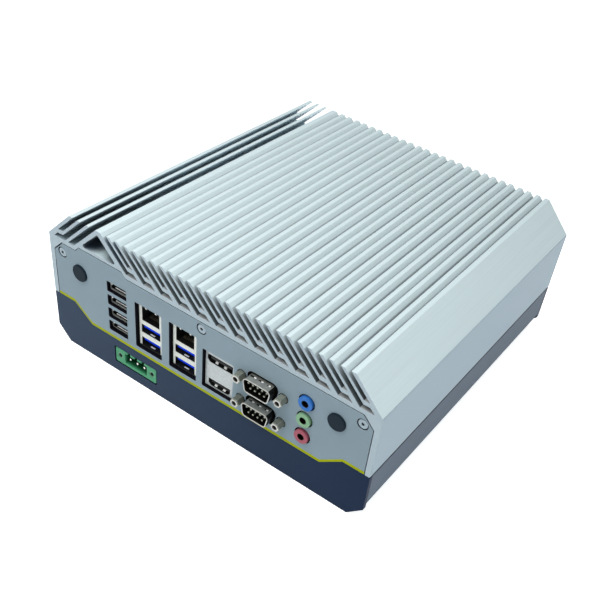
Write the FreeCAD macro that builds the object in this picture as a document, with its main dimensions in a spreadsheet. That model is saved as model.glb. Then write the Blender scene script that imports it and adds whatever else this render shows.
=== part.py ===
import FreeCAD, Part
import os
import re
import Sketcher

# Fanless industrial computer: a finned aluminium extrusion over a folded steel tray,
# closed by a plate at each end, with a mainboard and its connectors inside.
# Frame: +X to the right along the front, +Y to the rear, +Z up, origin at the middle
# of the underside. Sketches are dimensioned from the case's front lower left corner.

sizes = {
    # case
    "case_depth": 207,
    "side_room": 19,
    "socket_room": 7.8,
    "split_height": 31.6,
    "wall_thickness": 3,
    "roof_thickness": 2.5,
    "shoulder": 16.7,
    "inner_shoulder": 6,
    "corner_round": 1.5,
    "edge_break": 0.6,
    "cut_over": 1,
    # fins, measured level across the leaning section
    "fin_height": 16.8,
    "fin_width": 2.15,
    "pair_gap": 3.35,
    "edge_fin": 2.6,
    "pair_count": 13,
    "foot_height": 2.8,
    "bridge_height": 2.2,
    "stem_width": 4.3,
    # three-sided duct along the left side of the fins
    "duct_gap": 4.3,
    "duct_left_leg": 3.1,
    "duct_right_leg": 4.3,
    "duct_cap": 2,
    "duct_floor": 1.8,
    "duct_rise": 2.9,
    "duct_skin": 3,
    "duct_round": 1,
    # end plates and their fastening
    "plate_thickness": 2.5,
    "plate_gap": 0.5,
    "can_gap": 0.3,
    "plate_bevel": 8.5,
    "port_radius": 4.8,
    "port_sink": 0.5,
    "middle_port_offset": 1,
    "middle_port_sink": 0.3,
    "screw_radius": 1.5,
    "thread_clearance": 0.05,
    "hole_clearance": 0.2,
    "screw_head_radius": 2.7,
    "screw_head_height": 1.5,
    "screw_head_break": 0.3,
    "screw_sink": 1.7,
    "screw_sink_gap": 0.45,
    "screw_length": 8,
    "drive_radius": 1,
    "drive_depth": 0.8,
    "stud_inset": 24,
    "stud_level": 12,
    "nut_height": 2.4,
    "nut_radius": 3.1,
    "stud_spare": 1,
    # tray
    "tray_thickness": 1.5,
    "tray_bevel": 11,
    "tray_round": 1.2,
    "tab_width": 24,
    "tab_height": 20,
    "mount_pitch": 100,
    "mount_radius": 2.05,
    "mount_nut_radius": 4,
    "mount_nut_height": 3,
    # mainboard
    "board_level": 27,
    "board_depth": 170,
    "board_thickness": 1.6,
    "board_front": 3.5,
    "board_margin": 15.35,
    "board_hole_inset": 6.25,
    "board_hole_front": 10.2,
    "board_hole_rear": 4.9,
    "standoff_radius": 2.9,
    "board_screw_length": 6,
    # connectors on the mainboard
    "face_depth": 2,
    "cutout_round": 0.8,
    "can_depth": 24,
    "contact_depth": 10,
    "usb_place": 28.9,
    "usb_rise": 3.1,
    "usb_count": 4,
    "usb_pitch": 8.45,
    "usb_mouth_width": 13.1,
    "usb_mouth_height": 5.4,
    "usb_side_gap": 0.35,
    "usb_edge_gap": 0.65,
    "usb_can_wall": 0.75,
    "usb_web": 5.6,
    "tongue_height": 1.8,
    "tongue_side_gap": 1,
    "tongue_drop": 0.7,
    "tongue_setback": 1,
    "lan_can_wall": 1.85,
    "lan_can_top": 1.2,
    "lan_gap": 0.8,
    "lan_web": 4.95,
    "lan_mouth_width": 12,
    "lan_mouth_height": 9.2,
    "lan_mouth_rise": 21.8,
    "latch_width": 6.2,
    "latch_height": 0.8,
    "carrier_depth": 2.4,
    "fast_usb_rise": 3.5,
    "fast_usb_pitch": 8.4,
    "display_web": 3.85,
    "display_gap": 0.7,
    "display_can_wall": 1.15,
    "display_can_top": 2.7,
    "dp_width": 16.1,
    "dp_height": 4.8,
    "dp_rise": 18.2,
    "dp_corner": 1.6,
    "hdmi_width": 14,
    "hdmi_height": 4.5,
    "hdmi_rise": 2.9,
    "hdmi_corner": 1.5,
    "display_tongue_inset": 1.5,
    "display_tongue_height": 1.2,
    "serial_web": 2.25,
    "serial_rise": 6.1,
    "serial_pitch": 15.8,
    "serial_top_width": 16.9,
    "serial_height": 8.4,
    "serial_slope": 1.45,
    "serial_round": 2.2,
    "serial_skin": 0.5,
    "serial_stand": 5,
    "serial_flange_spare": 3,
    "serial_flange_thickness": 1,
    "serial_cutout_gap": 1.4,
    "serial_body_depth": 10,
    "dimple_pitch": 5,
    "dimple_length": 2.4,
    "dimple_width": 1.1,
    "dimple_depth": 0.3,
    "dimple_setback": 3.7,
    "pin_pitch": 2.76,
    "pin_row": 2.84,
    "pin_radius": 0.5,
    "pin_setback": 1.2,
    "jack_web": 0.425,
    "jack_radius": 2.75,
    "jack_stand": 5,
    "jack_break": 0.45,
    "jack_hole_radius": 1.45,
    "jack_shank": 2.4,
    "audio_web": 5.4,
    "audio_rise": 6,
    "audio_pitch": 10.8,
    "audio_seam": 0.2,
    "audio_gap": 0.7,
    "audio_ring_radius": 3.95,
    "audio_bore": 1.8,
    "audio_stand": 1.4,
    "audio_body_width": 13,
    "audio_body_depth": 20,
    # rubber plugs in the aerial holes
    "plug_inset": 2.8,
    "plug_drop": 13,
    "plug_hole_radius": 4.1,
    "plug_head_radius": 4.9,
    "plug_head_height": 1.2,
    "plug_break": 0.4,
    "plug_lip_height": 1,
    # supply header low on the front
    "supply_offset": 11.5,
    "supply_low": 7,
    "supply_wall": 1.5,
    "supply_back": 1.4,
    "supply_gap": 0.7,
    "supply_depth": 12,
    "supply_setback": 0.3,
    "supply_round": 1,
    "supply_mouth_width": 16,
    "supply_mouth_height": 6.6,
    "supply_pin_pitch": 5.08,
    "supply_pin_width": 1,
    "supply_ear_gap": 1.7,
    "supply_ear_wall": 1.2,
    "supply_ear_radius": 1.9,
    "supply_nut_wall": 0.6,
    "supply_nut_setback": 0.2,
    "supply_key_width": 2,
    "supply_key_depth": 6,
    "supply_board_width": 44,
    "supply_board_depth": 40,
    "supply_post_radius": 2.5,
    "supply_post_inset": 4,
    "link_width": 20,
    "link_depth": 8,
    "link_inset": 3.5,
    # cooling path and modules on the mainboard
    "chip_width": 37.5,
    "chip_height": 4,
    "pad_thickness": 0.5,
    "block_foot_width": 44,
    "block_foot_height": 8,
    "block_width": 64,
    "block_clearance": 1,
    "memory_inset": 6.5,
    "memory_gap": 6,
    "memory_rear_room": 2,
    "memory_socket_side": 2.7,
    "memory_socket_depth": 7,
    "memory_socket_height": 5.2,
    "memory_width": 67.6,
    "memory_length": 30,
    "memory_thickness": 1.2,
    "memory_rise": 2.4,
    "drive_inset": 11,
    "drive_place": 60,
    "drive_width": 22,
    "drive_length": 80,
    "drive_thickness": 1.4,
    "drive_socket_depth": 8.7,
    "drive_socket_height": 4.2,
    "drive_rise": 2.2,
    "drive_overlap": 5,
    "drive_rest_width": 5.5,
    "cell_gap": 4.6,
    "cell_place": 70,
    "cell_radius": 10,
    "cell_height": 3.2,
    "cell_floor": 1,
    "cell_wall": 1.4,
}

# Sizes and places that follow from the driving ones.
following = {
    "usb_cutout_width": "(usb_mouth_width+2*usb_side_gap)",
    "usb_cutout_height": "(usb_mouth_height+2*usb_edge_gap)",
    "usb_can_width": "(usb_mouth_width+2*usb_can_wall)",
    "tongue_width": "(usb_mouth_width-2*tongue_side_gap)",
    "lan_can_width": "(usb_mouth_width+2*lan_can_wall)",
    "lan_cutout_width": "(lan_can_width+2*lan_gap)",
    "display_can_width": "(dp_width+2*display_can_wall)",
    "display_cutout_width": "(display_can_width+2*display_gap)",
    "jack_hole_outer": "(jack_radius+hole_clearance)",
    "jack_spacing": "(serial_top_width-serial_slope+2*(serial_cutout_gap+jack_web+jack_hole_outer))",
    "serial_flange_width": "(jack_spacing+2*serial_flange_spare)",
    "audio_hole_radius": "(audio_ring_radius+audio_gap)",
    "usb_middle": "(side_room+usb_place)",
    "lan_middle": "(usb_middle+usb_cutout_width/2+usb_web+lan_cutout_width/2)",
    "lan_pitch": "(lan_cutout_width+lan_web)",
    "display_middle": "(lan_middle+lan_pitch+lan_cutout_width/2+display_web+display_cutout_width/2)",
    "serial_middle": "(display_middle+display_cutout_width/2+serial_web+jack_hole_outer+jack_spacing/2)",
    "audio_middle": "(serial_middle+jack_spacing/2+jack_hole_outer+audio_web+audio_hole_radius)",
    "board_right": "(audio_middle+audio_hole_radius+board_margin)",
    "case_width": "(board_right+side_room)",
    "usb_level": "(board_level+usb_rise)",
    "ceiling": "(usb_level+(usb_count-1)*usb_pitch+usb_mouth_height/2+usb_can_wall+socket_room)",
    "slot_floor": "(ceiling+roof_thickness)",
    "case_height": "(slot_floor+fin_height)",
    "lan_mouth_level": "(board_level+lan_mouth_rise)",
    "lan_mouth_top": "(lan_mouth_level+lan_mouth_height/2)",
    "lan_can_high": "(lan_mouth_top+latch_height+lan_can_top)",
    "dp_level": "(board_level+dp_rise)",
    "hdmi_level": "(board_level+hdmi_rise)",
    "display_can_high": "(dp_level+dp_height/2+display_can_top)",
    "serial_level": "(board_level+serial_rise)",
    "audio_level": "(board_level+audio_rise)",
    "port_reach": "(inner_shoulder/2+(port_radius-port_sink)/sqrt(2))",
    "port_inset": "(wall_thickness+port_reach)",
    "corner_port_level": "(ceiling-port_reach)",
    "middle_port_place": "(case_width/2+middle_port_offset)",
    "middle_port_level": "(ceiling-port_radius+middle_port_sink)",
    "fins_room": "(case_width-2*shoulder-2*edge_fin+fin_width)",
    "duct_room": "(duct_gap+duct_left_leg+duct_right_leg-2*duct_cap)",
    "fin_pitch": "((fins_room-duct_room)/(pair_count+1))",
    "supply_middle": "(usb_middle+supply_offset)",
    "supply_height": "(supply_mouth_height+2*supply_wall)",
    "supply_ear_place": "(supply_mouth_width/2+supply_ear_gap+supply_ear_radius)",
    "supply_width": "(2*(supply_ear_place+supply_ear_radius+supply_ear_wall))",
    "board_rear": "(board_front+board_depth)",
    "chip_middle": "(case_width/2)",
    "memory_place": "(board_rear-memory_rear_room-memory_length-memory_socket_depth/2)",
    "memory_socket_width": "(memory_width+2*memory_socket_side)",
    "memory_middle": "(board_right-memory_inset-memory_socket_width/2)",
    "chip_place": "(memory_place-memory_gap-block_width/2)",
    "drive_middle": "(side_room+drive_inset+drive_width/2)",
    "cell_middle": "(chip_middle+block_width/2+cell_gap+cell_wall+cell_radius)",
}

doc = FreeCAD.newDocument("fanless_computer")
sheet = doc.addObject("Spreadsheet::Sheet", "Sizes")
for row, (alias, value) in enumerate(sizes.items(), start=1):
    sheet.set(f"A{row}", alias)
    sheet.set(f"B{row}", str(value))
    sheet.setAlias(f"B{row}", alias)
doc.recompute()


def spell_out(text):
    """Write an expression in driving sizes alone."""
    while any(word in following for word in re.findall(r"[a-z_]+", text)):
        text = re.sub(r"[a-z_]+", lambda word: following.get(word[0], word[0]), text)
    return text


def bind(text):
    """Name the sheet before each driving size in an expression."""
    spelled = spell_out(text)
    return re.sub(r"[a-z_]+", lambda word: "Sizes." + word[0] if word[0] in sizes else word[0], spelled)


def amount(text):
    """Work out an expression's value from the sheet."""
    return float(sheet.evalExpression(spell_out(text)))


def plus(*terms):
    """Join terms into one bracketed sum."""
    return "(" + "+".join(terms) + ")"


def less(first, *others):
    """Take the other terms from the first."""
    return "(" + first + "".join(f"-({term})" for term in others) + ")"


nodes = []
cuts = []


def new_body(node):
    body = doc.addObject("PartDesign::Body", node)
    body.Label = node
    body.Placement = FreeCAD.Placement()
    nodes.append(body)
    return body


def origin_part(body, role):
    return next(item for item in body.Origin.OriginFeatures if item.Role == role)


def new_sketch(body, plane, level):
    """Start a sketch: "front" faces the viewer at depth level, "floor" lies at height level."""
    sketch = body.newObject("Sketcher::SketchObject", body.Name + "_sketch")
    offset = ".AttachmentOffset.Base."
    sketch.AttachmentSupport = (origin_part(body, "XZ_Plane" if plane == "front" else "XY_Plane"), [""])
    sketch.MapMode = "FlatFace"
    sketch.setExpression(offset + "x", bind("-case_width/2"))
    if plane == "front":
        sketch.setExpression(offset + "z", bind(f"case_depth/2-{level}"))
    else:
        sketch.setExpression(offset + "y", bind("-case_depth/2"))
        sketch.setExpression(offset + "z", bind(level))
    return sketch


def pin_point(sketch, line, point, across, up):
    """Hold a point at its two distances from the case's corner."""
    for kind, place in (("DistanceX", across), ("DistanceY", up)):
        index = sketch.addConstraint(Sketcher.Constraint(kind, -1, 1, line, point, amount(place)))
        sketch.setExpression(f"Constraints[{index}]", bind(place))


def draw_outline(sketch, points, corner=""):
    """Draw a closed outline through points, each a pair of expressions, rounded by corner."""
    first = sketch.GeometryCount
    spots = [FreeCAD.Vector(amount(across), amount(up), 0) for across, up in points]
    for spot, after in zip(spots, spots[1:] + spots[:1]):
        sketch.addGeometry(Part.LineSegment(spot, after))
    for index, (across, up) in enumerate(points):
        line = first + index
        after = first + (index + 1) % len(points)
        sketch.addConstraint(Sketcher.Constraint("Coincident", line, 2, after, 1))
        pin_point(sketch, line, 1, across, up)
    if corner:
        for line in range(first, first + len(points)):
            arc = sketch.GeometryCount
            sketch.fillet(line, 2, amount(corner), True, True)
            index = sketch.addConstraint(Sketcher.Constraint("Radius", arc, amount(corner)))
            sketch.setExpression(f"Constraints[{index}]", bind(corner))


def draw_box(sketch, middle, width, low, high, corner=""):
    left = less(middle, width + "/2")
    right = plus(middle, width + "/2")
    draw_outline(sketch, [(left, low), (right, low), (right, high), (left, high)], corner)


def draw_circle(sketch, across, up, radius):
    spot = FreeCAD.Vector(amount(across), amount(up), 0)
    ring = sketch.addGeometry(Part.Circle(spot, FreeCAD.Vector(0, 0, 1), amount(radius)))
    pin_point(sketch, ring, 3, across, up)
    index = sketch.addConstraint(Sketcher.Constraint("Radius", ring, amount(radius)))
    sketch.setExpression(f"Constraints[{index}]", bind(radius))


def draw_hexagon(sketch, across, up, radius):
    """Draw a hexagon with corners at radius, two of them level with its middle."""
    half = f"{radius}/2"
    flat = f"{radius}*sqrt(3)/2"
    draw_outline(sketch, [
        (plus(across, radius), up),
        (plus(across, half), plus(up, flat)),
        (less(across, half), plus(up, flat)),
        (less(across, radius), up),
        (less(across, half), less(up, flat)),
        (plus(across, half), less(up, flat)),
    ])


def pad(body, sketch, length):
    """Raise a sketch to the rear, or upward from a floor sketch."""
    feature = body.newObject("PartDesign::Pad", body.Name + "_pad")
    feature.Profile = sketch
    feature.Reversed = sketch.AttachmentSupport[0][0].Role == "XZ_Plane"
    feature.setExpression("Length", bind(length))
    sketch.Visibility = False
    return feature


def pocket(body, sketch, length):
    """Cut a sketch to the rear, or upward from a floor sketch."""
    feature = body.newObject("PartDesign::Pocket", body.Name + "_pocket")
    feature.Profile = sketch
    feature.Reversed = sketch.AttachmentSupport[0][0].Role == "XY_Plane"
    feature.setExpression("Length", bind(length))
    cuts.append(feature)
    return feature


def dress(body, kind, size, name, wanted):
    """Fillet or chamfer the edges of the body's last feature that wanted picks."""
    doc.recompute()
    base = body.Tip
    picked = [f"Edge{number}" for number, edge in enumerate(base.Shape.Edges, start=1) if wanted(edge)]
    feature = body.newObject("PartDesign::" + kind, body.Name + "_" + name)
    feature.Base = (base, picked)
    feature.setExpression("Radius" if kind == "Fillet" else "Size", bind(size))
    return feature


def runs_along(edge, axis):
    """Tell whether an edge is a straight one along the axis, 0 for X, 1 for Y and 2 for Z."""
    if edge.Curve.TypeId != "Part::GeomLine":
        return False
    return abs(abs(edge.Curve.Direction[axis]) - 1) < 1e-6


def edge_at(edge, across, up):
    """Tell whether an edge along Y passes the given distances from the case's corner."""
    middle = edge.CenterOfMass
    x_error = middle.x + amount("case_width") / 2 - amount(across)
    return runs_along(edge, 1) and abs(x_error) < 0.01 and abs(middle.z - amount(up)) < 0.01


def block(node, middle, width, front, depth, low, height):
    """Add a plain box that stands at low and runs back from front."""
    piece = doc.addObject("Part::Box", node)
    piece.Label = node
    piece.setExpression("Length", bind(width))
    piece.setExpression("Width", bind(depth))
    piece.setExpression("Height", bind(height))
    piece.setExpression(".Placement.Base.x", bind(f"{middle}-{width}/2-case_width/2"))
    piece.setExpression(".Placement.Base.y", bind(f"{front}-case_depth/2"))
    piece.setExpression(".Placement.Base.z", bind(low))
    nodes.append(piece)
    return piece


# Levels and places that several pieces share.
foot_top = "(slot_floor+foot_height)"
gap_floor = "(slot_floor+foot_height+bridge_height)"
above = "(case_height+cut_over)"
bevel_line = "(case_width+case_height-shoulder)"
duct_outer = "(shoulder+edge_fin+fin_pitch+duct_gap-case_height)"
duct_right_face = "(case_width+case_height-shoulder-edge_fin+fin_width-pair_count*fin_pitch)"
inner_depth = "(case_depth-2*plate_thickness)"
far_side = "(case_width-port_inset)"
screw_ports = [
    ("port_inset", "corner_port_level"),
    ("middle_port_place", "middle_port_level"),
    (far_side, "corner_port_level"),
]
plate_back = "(plate_thickness+can_gap)"
board_top = "board_level"
board_bottom = "(board_level-board_thickness)"
floor_top = "tray_thickness"


def leaning(line, up):
    """Point on a line that leans left at 45 degrees; line is its across plus its height."""
    return (less(line, up), up)


def leaning_right(line, up):
    """Point on a line that leans right at 45 degrees; line is its across less its height."""
    return (plus(line, up), up)


def inner_outline(gap):
    """Outline under the extrusion's roof, drawn in by gap, down to the split."""
    left = plus("wall_thickness", gap)
    right = less("case_width", "wall_thickness", gap)
    top = less("ceiling", gap)
    raised = plus(top, "duct_rise")
    step_left = plus(duct_outer, "duct_skin", gap)
    step_right = less(duct_right_face, "duct_skin", gap)
    return [
        (left, "split_height"),
        (left, less(top, "inner_shoulder")),
        (plus(left, "inner_shoulder"), top),
        leaning_right(step_left, top),
        leaning_right(step_left, raised),
        leaning(step_right, raised),
        leaning(step_right, top),
        (less(right, "inner_shoulder"), top),
        (right, less(top, "inner_shoulder")),
        (right, "split_height"),
    ]


def build_heatsink_shell():
    """Extruded cover: walls, bevelled shoulders, leaning forked fins and a three-sided duct."""
    body = new_body("heatsink_shell")
    wall_top = "(case_height-shoulder)"
    envelope = new_sketch(body, "front", "0")
    draw_outline(envelope, [
        ("0", "split_height"),
        ("0", wall_top),
        ("shoulder", "case_height"),
        ("(case_width-shoulder)", "case_height"),
        ("case_width", wall_top),
        ("case_width", "split_height"),
    ])
    pad(body, envelope, "case_depth")

    cavity = new_sketch(body, "front", "0")
    opened = inner_outline("0")
    opened[0] = (opened[0][0], "(split_height-cut_over)")
    opened[-1] = (opened[-1][0], "(split_height-cut_over)")
    draw_outline(cavity, opened)
    pocket(body, cavity, "case_depth")

    ports = new_sketch(body, "front", "plate_thickness")
    for across, up in screw_ports:
        draw_circle(ports, across, up, "port_radius")
    pad(body, ports, inner_depth)
    threads = new_sketch(body, "front", "plate_thickness")
    for across, up in screw_ports:
        draw_circle(threads, across, up, "(screw_radius+thread_clearance)")
    pocket(body, threads, inner_depth)
    seat = new_sketch(body, "front", less("chip_place", "block_width/2", "block_clearance"))
    draw_box(seat, "chip_middle", "(block_width+2*block_clearance)",
             less("middle_port_level", "port_radius", "block_clearance"), "ceiling")
    pocket(body, seat, "(block_width+2*block_clearance)")

    duct = new_sketch(body, "front", "0")
    left_face = plus(duct_outer, "duct_left_leg")
    right_face = less(duct_right_face, "duct_right_leg")
    duct_low = "(ceiling+duct_rise+duct_floor)"
    duct_apex = f"(({right_face}-{left_face})/2)"
    draw_outline(duct, [
        leaning_right(left_face, duct_low),
        leaning(right_face, duct_low),
        (plus(left_face, duct_apex), duct_apex),
    ], "duct_round")
    pocket(body, duct, "case_depth")

    gap_right = less(bevel_line, "edge_fin")
    gap_left = less(gap_right, "pair_gap")
    slot_right = less(gap_left, "fin_width")
    slot_left = less(gap_right, "fin_pitch-fin_width")
    stem = less(bevel_line, "stem_width")
    slot = new_sketch(body, "front", "0")
    draw_outline(slot, [
        leaning(slot_left, above),
        leaning(slot_left, "slot_floor"),
        leaning(stem, "slot_floor"),
        leaning(stem, foot_top),
        leaning(slot_right, foot_top),
        leaning(slot_right, above),
    ])
    deep_slot = pocket(body, slot, "case_depth")
    gap = new_sketch(body, "front", "0")
    draw_outline(gap, [
        leaning(gap_left, above),
        leaning(gap_left, gap_floor),
        leaning(gap_right, gap_floor),
        leaning(gap_right, above),
    ])
    pair_slot = pocket(body, gap, "case_depth")

    pattern = body.newObject("PartDesign::LinearPattern", "fin_pairs")
    pattern.Originals = [deep_slot, pair_slot]
    pattern.Direction = (origin_part(body, "X_Axis"), [""])
    pattern.Reversed = True
    pattern.setExpression("Length", bind("fin_pitch*(pair_count-1)"))
    pattern.setExpression("Occurrences", bind("pair_count"))
    body.Tip = pattern
    doc.recompute()

    mirrored = body.newObject("PartDesign::Mirrored", "left_pair")
    mirrored.Originals = [deep_slot, pair_slot]
    mirrored.MirrorPlane = (origin_part(body, "YZ_Plane"), [""])
    body.Tip = mirrored
    doc.recompute()

    beside_duct = new_sketch(body, "front", "0")
    near = less(duct_outer, "duct_gap")
    draw_outline(beside_duct, [
        leaning_right(near, above),
        leaning_right(near, "slot_floor"),
        leaning_right(duct_outer, "slot_floor"),
        leaning_right(duct_outer, above),
    ])
    pocket(body, beside_duct, "case_depth")

    dress(body, "Fillet", "corner_round", "shoulders", lambda edge: any(
        edge_at(edge, across, wall_top) for across in ("0", "case_width")))
    dress(body, "Chamfer", "edge_break", "lower_edges", lambda edge: any(
        edge_at(edge, across, "split_height") for across in ("0", "case_width")))
    return body


def plate_outline():
    """End plate: wide across the tray, narrower where it is let into the extrusion."""
    shoulder_level = "(split_height-plate_gap)"
    upper = inner_outline("plate_gap")
    upper[0] = (upper[0][0], shoulder_level)
    upper[-1] = (upper[-1][0], shoulder_level)
    return [
        ("0", shoulder_level),
        *upper,
        ("case_width", shoulder_level),
        ("case_width", "plate_bevel"),
        ("(case_width-plate_bevel)", "0"),
        ("plate_bevel", "0"),
        ("0", "plate_bevel"),
    ]


def build_plate(node, front, stud_front, sink_front):
    """Plate with sunk screw holes and the two studs pressed into its inner face."""
    body = new_body(node)
    sheet_outline = new_sketch(body, "front", front)
    draw_outline(sheet_outline, plate_outline())
    pad(body, sheet_outline, "plate_thickness")
    studs = new_sketch(body, "front", stud_front)
    for across in ("stud_inset", "(case_width-stud_inset)"):
        draw_circle(studs, across, "stud_level", "screw_radius")
    pad(body, studs, "(tray_thickness+nut_height+stud_spare)")
    holes = new_sketch(body, "front", front)
    for across, up in screw_ports:
        draw_circle(holes, across, up, "(screw_radius+hole_clearance)")
    pocket(body, holes, "plate_thickness")
    sinks = new_sketch(body, "front", sink_front)
    for across, up in screw_ports:
        draw_circle(sinks, across, up, "(screw_head_radius+screw_sink_gap)")
    pocket(body, sinks, "screw_sink")
    return body


def serial_outline(sketch, up, grow):
    """Draw a nine-way serial shell's outline, wide side up and drawn out by grow."""
    high = plus(up, "serial_height/2", grow)
    low = less(up, "serial_height/2", grow)
    top = plus("serial_top_width/2", grow)
    bottom = less(top, "serial_slope")
    draw_outline(sketch, [
        (less("serial_middle", bottom), low),
        (plus("serial_middle", bottom), low),
        (plus("serial_middle", top), high),
        (less("serial_middle", top), high),
    ], plus("serial_round", grow))


usb_levels = [f"(usb_level+{count}*usb_pitch)" for count in range(sizes["usb_count"])]
lan_places = ["lan_middle", "(lan_middle+lan_pitch)"]
fast_levels = ["(board_level+fast_usb_rise)", "(board_level+fast_usb_rise+fast_usb_pitch)"]
serial_levels = ["serial_level", "(serial_level+serial_pitch)"]
audio_levels = [f"(audio_level+{count}*audio_pitch)" for count in range(3)]
plug_places = ["(side_room+plug_inset)", "(case_width-side_room-plug_inset)"]
plug_level = "(ceiling-plug_drop)"


def build_front_plate():
    """Front plate with a cut-out for each connector."""
    body = build_plate("front_plate", "0", "plate_thickness", "0")
    sockets = new_sketch(body, "front", "0")
    for up in usb_levels:
        draw_box(sockets, "usb_middle", "usb_cutout_width",
                 less(up, "usb_cutout_height/2"), plus(up, "usb_cutout_height/2"), "cutout_round")
    for middle in lan_places:
        draw_box(sockets, middle, "lan_cutout_width", "(board_level-lan_gap)", "lan_can_high",
                 "cutout_round")
    draw_box(sockets, "display_middle", "display_cutout_width", "(board_level-display_gap)",
             "(display_can_high+display_gap)", "cutout_round")
    pocket(body, sockets, "plate_thickness")
    rounds = new_sketch(body, "front", "0")
    for up in audio_levels:
        draw_circle(rounds, "audio_middle", up, "audio_hole_radius")
    for across in plug_places:
        draw_circle(rounds, across, plug_level, "plug_hole_radius")
    for up in serial_levels:
        for side in ("-", "+"):
            draw_circle(rounds, f"(serial_middle{side}jack_spacing/2)", up, "jack_hole_outer")
    pocket(body, rounds, "plate_thickness")
    serial = new_sketch(body, "front", "0")
    for up in serial_levels:
        serial_outline(serial, up, "serial_cutout_gap")
    pocket(body, serial, "plate_thickness")
    supply = new_sketch(body, "front", "0")
    draw_box(supply, "supply_middle", "(supply_width+2*supply_gap)",
             "(supply_low-supply_gap)", "(supply_low+supply_height+supply_gap)", "cutout_round")
    pocket(body, supply, "plate_thickness")
    return body


def build_tray():
    """Folded tray: floor, bevels and side walls, with two tabs turned up at each end."""
    body = new_body("base_tray")
    skin = "tray_thickness"
    slant = f"{skin}*(sqrt(2)-1)"
    profile = new_sketch(body, "front", "plate_thickness")
    draw_outline(profile, [
        ("0", "split_height"),
        ("0", "tray_bevel"),
        ("tray_bevel", "0"),
        ("(case_width-tray_bevel)", "0"),
        ("case_width", "tray_bevel"),
        ("case_width", "split_height"),
        (less("case_width", skin), "split_height"),
        (less("case_width", skin), plus("tray_bevel", slant)),
        (less("case_width", "tray_bevel", slant), skin),
        (plus("tray_bevel", slant), skin),
        (skin, plus("tray_bevel", slant)),
        (skin, "split_height"),
    ])
    pad(body, profile, inner_depth)
    for front in ("plate_thickness", less("case_depth", "plate_thickness", skin)):
        tabs = new_sketch(body, "front", front)
        for across in ("stud_inset", "(case_width-stud_inset)"):
            draw_box(tabs, across, "tab_width", f"{skin}/2", "tab_height")
        pad(body, tabs, skin)
        holes = new_sketch(body, "front", front)
        for across in ("stud_inset", "(case_width-stud_inset)"):
            draw_circle(holes, across, "stud_level", "(screw_radius+hole_clearance)")
        pocket(body, holes, skin)
    mounts = new_sketch(body, "floor", "0")
    for across in ("(case_width-mount_pitch)/2", "(case_width+mount_pitch)/2"):
        for back in ("(case_depth-mount_pitch)/2", "(case_depth+mount_pitch)/2"):
            draw_circle(mounts, across, back, "mount_radius")
    pocket(body, mounts, skin)
    dress(body, "Fillet", "tray_round", "folds", lambda edge: any(edge_at(edge, *corner) for corner in (
        ("0", "tray_bevel"),
        ("tray_bevel", "0"),
        ("(case_width-tray_bevel)", "0"),
        ("case_width", "tray_bevel"),
    )))
    dress(body, "Chamfer", "edge_break", "upper_edges", lambda edge: any(
        edge_at(edge, across, "split_height") for across in ("0", "case_width")))
    return body


def build_screws(node, head_front, shank_front, drive_front, face):
    """Three screws through a plate into the extrusion's ports, their heads sunk in it."""
    body = new_body(node)
    heads = new_sketch(body, "front", head_front)
    shanks = new_sketch(body, "front", shank_front)
    drives = new_sketch(body, "front", drive_front)
    for across, up in screw_ports:
        draw_circle(heads, across, up, "screw_head_radius")
        draw_circle(shanks, across, up, "screw_radius")
        draw_hexagon(drives, across, up, "drive_radius")
    pad(body, heads, "screw_head_height")
    pad(body, shanks, "screw_length")
    face_plane = amount(less(face, "case_depth/2"))
    dress(body, "Chamfer", "screw_head_break", "head_edges", lambda edge: (
        abs(edge.CenterOfMass.y - face_plane) < 0.01 and edge.Curve.TypeId == "Part::GeomCircle"))
    pocket(body, drives, "drive_depth")
    return body


def build_plate_nuts():
    """Hexagon nuts on the plates' studs, against the tray's tabs."""
    body = new_body("plate_nuts")
    fronts = (
        plus("plate_thickness", "tray_thickness"),
        less("case_depth", "plate_thickness", "tray_thickness", "nut_height"),
    )
    for front in fronts:
        nuts = new_sketch(body, "front", front)
        for across in ("stud_inset", "(case_width-stud_inset)"):
            draw_hexagon(nuts, across, "stud_level", "nut_radius")
            draw_circle(nuts, across, "stud_level", "(screw_radius+thread_clearance)")
        pad(body, nuts, "nut_height")
    return body


def build_mount_nuts():
    """Round nuts pressed on the tray's floor over the four mounting holes."""
    body = new_body("mount_nuts")
    nuts = new_sketch(body, "floor", floor_top)
    for across in ("(case_width-mount_pitch)/2", "(case_width+mount_pitch)/2"):
        for back in ("(case_depth-mount_pitch)/2", "(case_depth+mount_pitch)/2"):
            draw_circle(nuts, across, back, "mount_nut_radius")
            draw_circle(nuts, across, back, "mount_radius")
    pad(body, nuts, "mount_nut_height")
    return body


def build_antenna_plugs():
    """Rubber plugs: a low head outside, a stem in the hole and a lip inside the plate."""
    body = new_body("antenna_plugs")
    parts = (
        (less("0", "plug_head_height"), "plug_head_radius", "plug_head_height"),
        ("0", "plug_hole_radius", "plate_thickness"),
        ("plate_thickness", "plug_head_radius", "plug_lip_height"),
    )
    for front, radius, length in parts:
        rings = new_sketch(body, "front", front)
        for across in plug_places:
            draw_circle(rings, across, plug_level, radius)
        pad(body, rings, length)
    front_plane = -amount("case_depth/2+plug_head_height")
    dress(body, "Chamfer", "plug_break", "heads", lambda edge: (
        abs(edge.CenterOfMass.y - front_plane) < 0.01 and edge.Curve.TypeId == "Part::GeomCircle"))
    return body


def build_mouths(body, face, middle, levels):
    """Cut a serial-bus mouth at each level into a connector's face."""
    mouths = new_sketch(body, "front", face)
    for up in levels:
        draw_box(mouths, middle, "usb_mouth_width",
                 less(up, "usb_mouth_height/2"), plus(up, "usb_mouth_height/2"))
    pocket(body, mouths, "contact_depth")


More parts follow.
